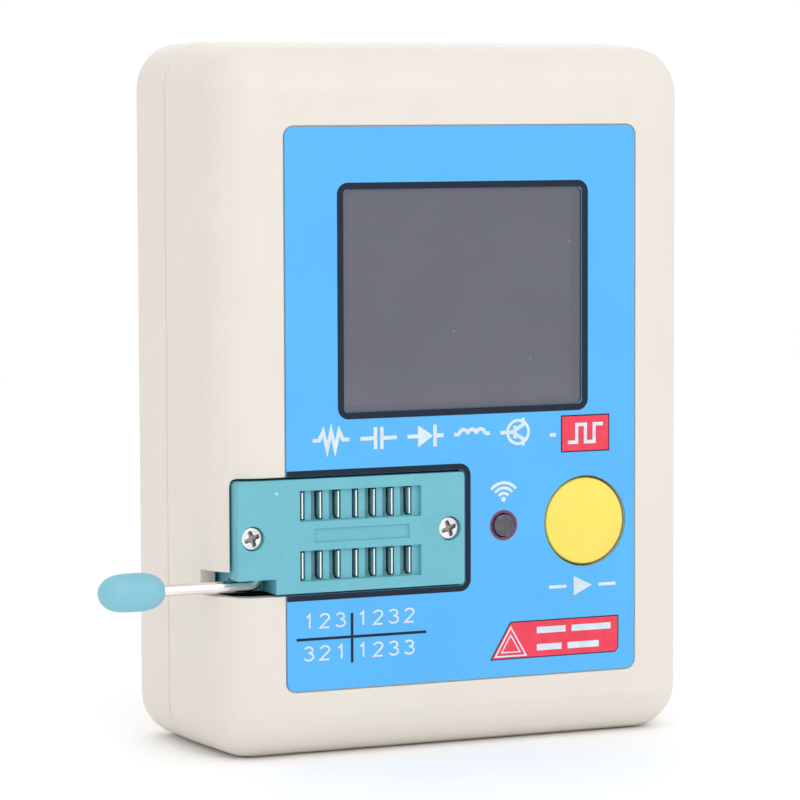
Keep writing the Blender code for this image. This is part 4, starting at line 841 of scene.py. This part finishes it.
def dome_profile(radius, height, crown, fillet, count=14):
    """From the middle of a shallow dome round its shoulder and down its side to the middle of its foot."""
    rise = np.linspace(0, 1, count)
    dome = np.column_stack([rise * (radius - fillet), height - crown * rise**2])
    angle = np.linspace(0, np.pi / 2, 7)[1:]
    out = radius - fillet + fillet * np.sin(angle)
    up = height - crown - fillet + fillet * np.cos(angle)
    shoulder = np.column_stack([out, up])
    return np.concatenate([dome, shoulder, [(radius, 0), (0, 0)]])


def button_cap():
    """The yellow cap: a shallow dome with a rounded shoulder and a skirt with its flange below."""
    x = (CAP_LOW[0] + CAP_HIGH[0]) / 2
    z = (CAP_LOW[2] + CAP_HIGH[2]) / 2
    radius = 5.80 * MM
    foot = CAP_HIGH[1]
    height = foot - CAP_LOW[1]
    flange = (CAP_HIGH[0] - CAP_LOW[0]) / 2
    flange_top = foot - (FRONT + 2.3 * MM)
    profile = dome_profile(radius, height, 0.62 * MM, 0.28 * MM, 20)
    bore, bore_depth = 2.1 * MM, 1.0 * MM
    skirt = [(radius, flange_top), (flange, flange_top), (flange, 0)]
    skirt += [(bore, 0), (bore, bore_depth), (0, bore_depth)]
    profile = np.concatenate([profile[:-2], skirt])
    mesh = turned("button_cap_domed", profile, (x, foot, z), (0, -1, 0), 128)
    add_piece("button_cap_domed", mesh, YELLOW, "button", ("button_cap",))


def knob_grip():
    """The lever's grip: a long oval, r = R (1 - |2 h / L - 1|^3.1)^0.5, with a bore for the rod.

    A fine raised line round its middle marks where the halves of its mould met.
    """
    length = KNOB_HIGH[0] - KNOB_LOW[0]
    radius = (KNOB_HIGH[2] - KNOB_LOW[2]) / 2
    middle = (KNOB_LOW + KNOB_HIGH) / 2
    bore = 1.0 * MM
    share = 0.5 + 0.5 * np.cos(np.linspace(0, np.pi, 64))
    outer = radius * (1 - np.abs(2 * share - 1) ** 3.1) ** 0.5
    outer += 0.03 * MM * np.exp(-(((share - 0.30) * length / (0.10 * MM)) ** 2))
    profile = np.column_stack([outer, share * length])
    body = profile[(profile[:, 0] > 1.15 * bore) | (profile[:, 1] > 0.5 * length)]
    inside = [(bore, body[-1, 1] + 0.10 * MM), (bore, 0.65 * length), (0.0, 0.65 * length)]
    profile = np.concatenate([body, inside])
    mesh = turned("knob_grip", profile, (KNOB_HIGH[0], middle[1], middle[2]), (-1, 0, 0), 72)
    add_piece("knob_grip", mesh, KNOB_TEAL, "lever", ("lever_knob",))


def phillips_head(name, node, body, axis_sign, head_radius, head_height, shank):
    """A pan-head screw: height = dome - cross recess, the cross being where min(|u|, |v|) < half."""
    low, high = corner_pair(node)
    centre = (low + high) / 2
    y_top = low[1] if axis_sign < 0 else high[1]
    y_end = high[1] if axis_sign < 0 else low[1]
    ring, spokes, turn = 40, 160, 0.35
    radius = np.concatenate([np.linspace(0, 0.94, ring) ** 0.8, [0.975, 0.995, 1.0]]) * head_radius
    angle = np.linspace(0, 2 * np.pi, spokes, endpoint=False)
    x = radius[:, None] * np.cos(angle + turn)
    z = radius[:, None] * np.sin(angle + turn)
    share = radius[:, None] / head_radius
    dome = head_height * (1 - 0.30 * share**2 - 0.45 * np.clip((share - 0.93) / 0.07, 0, 1) ** 2)
    u, v = radius[:, None] * np.cos(angle), radius[:, None] * np.sin(angle)
    half = 0.19 * head_radius
    slot = np.clip((half - np.minimum(np.abs(u), np.abs(v))) / (0.08 * head_radius), 0, 1)
    inside = np.clip((0.72 - share) / 0.12, 0, 1)
    centre_pit = np.clip((0.36 - share) / 0.12, 0, 1)
    sunk = np.maximum(slot * inside, centre_pit)
    depth = head_height * 0.9 * sunk
    height = dome - depth
    top = np.stack([x + centre[0], y_top - axis_sign * (head_height - height), z + centre[2]], axis=-1)
    end = abs(y_end - y_top)
    levels = [(head_radius, head_height), (shank, head_height), (shank, end - 0.3 * MM), (0.3 * shank, end)]
    rings = []
    for r, down in levels:
        flat = [centre[0] + r * np.cos(angle + turn), centre[2] + r * np.sin(angle + turn)]
        rings.append(upright(np.column_stack(flat), y_top - axis_sign * down))
    mesh = grid_mesh(name, np.concatenate([top, np.array(rings)]))
    # The recess share goes onto the mesh as the recess attribute, from which the screw steel paints shade
    # into the cross.
    shade = np.concatenate([sunk.ravel(), np.zeros(len(rings) * spokes)])
    mesh.attributes.new("recess", "FLOAT", "POINT").data.foreach_set("value", shade)
    finish_mesh(mesh, 40)
    add_piece(name, mesh, SCREW_STEEL, body, (node,))


def contact_leaf(node):
    """A spring contact: a strip that rises to the front, with a slight bow and a curl at its lip."""
    low, high = corner_pair(node)
    x, z = (low[0] + high[0]) / 2, (low[2] + high[2]) / 2
    half = (high[2] - low[2]) / 2
    bend = np.linspace(0, 1, 14)
    offset = (-0.07 * np.sin(np.pi * bend) + 0.10 * bend**6) * MM
    depth = low[1] + (3.4 * (1 - bend) ** 1.4 - 0.12) * MM
    depth[-1] += 0.10 * MM
    path = np.column_stack([x + offset, depth, np.full(len(bend), z)])
    thick = 0.32 * MM
    profile = [(-thick / 2, -half), (thick / 2, -half), (thick / 2, half), (-thick / 2, half)]
    mesh = swept(f"{node}_leaf", path, profile, normal=(0.0, 0.0, 1.0))
    add_piece(f"{node}_leaf", mesh, CONTACT_METAL, "case", (node,))


def slot_ledge(node):
    """The ledge at the left of a contact's slot, set back from the cover's face, with a ramp below.

    The first and the fourth slot of each row have none.
    """
    low, high = corner_pair(node)
    number = int(node.rsplit("_", 1)[1])
    if number in (1, 4):
        return
    x0, x1 = low[0] - 1.13 * MM, low[0] - 0.30 * MM
    z0, z1 = low[2] - 0.19 * MM, high[2] + 0.19 * MM
    top, foot = COVER_LOW[1] + 1.60 * MM, COVER_HIGH[1] - 0.1 * MM
    ramp = 0.55 * MM
    side = [(z0, top - 0.6 * MM), (z0 + ramp, top), (z1, top), (z1, foot), (z0, foot)]
    points = np.array([[(x, y, z) for z, y in side] for x in (x0, x1)])
    mesh = grid_mesh(f"{node}_ledge", points)
    finish_mesh(mesh)
    # The ledge takes the darker teal, painted shade for the depth of its slot.
    add_piece(f"{node}_ledge", mesh, SHADED_TEAL, "case")


def recolour():
    """Finishes for the CAD nodes that keep their shape."""
    finishes = {
        LABEL: ["front_label"],
        DISPLAY: ["display_window"],
        LENS: ["lcd_glass"],
        SHEET_STEEL: ["lcd_frame", "crystal"],
        AMBER: ["lcd_flex"],
        FOAM: ["display_foam", "battery_tape"],
        BOARD: ["main_pcb"],
        BLACK: [
            "switch_body",
            "switch_stem",
            "ir_receiver",
            "microcontroller",
            "charger_ic",
            "voltage_regulator",
            "inductor",
            "battery_lead_black",
        ],
        TEAL: ["socket_slider"],
        FOIL: ["battery"],
        WHITE: ["battery_connector"],
        RED_SLEEVE: ["battery_lead_red"],
        LAMP: ["charge_led"],
        ROD_STEEL: ["lever_rod"],
        SCREW_STEEL: [f"pcb_screw_{number}" for number in range(1, 5)],
    }
    for material, nodes in finishes.items():
        for node in nodes:
            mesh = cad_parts[node].data
            mesh.materials.clear()
            mesh.materials.append(material)


def add_floor():
    """A white floor under the tester."""
    half, thick = 0.62, 0.02
    floor = prism("floor", [(-half, -thick), (half, -thick), (half, 0), (-half, 0)], -half, half)
    made = bpy.data.objects.new("floor", floor)
    paper = Finish("floor_paper", (0.985, 0.985, 0.985), 0.75)
    grain = paper.noise(0.004, 3.0, 0.6)
    paper.paint(paper.tinted(0.01, grain), 0.72 + grain * 0.06)
    floor.materials.append(paper.material)
    bpy.context.scene.collection.objects.link(made)


add_camera()
add_studio()
add_floor()
recolour()
cover_and_case()
seam_bead()
cover_dot()
display_border()
socket_border()
symbol_row()
red_badge()
beam_mark()
start_mark()
pin_chart()
caution_patch()
eye_ring()
button_cap()
knob_grip()
for node_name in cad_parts:
    if node_name.startswith("contact_"):
        contact_leaf(node_name)
        slot_ledge(node_name)
for end in ("left", "right"):
    screw = f"socket_screw_{end}"
    phillips_head(f"{screw}_head", screw, "case", -1, 1.5 * MM, 0.6 * MM, 0.7 * MM)
for number in range(1, 5):
    screw = f"case_screw_{number}"
    phillips_head(f"{screw}_head", screw, "case", 1, 2.3 * MM, 1.4 * MM, 1.1 * MM)
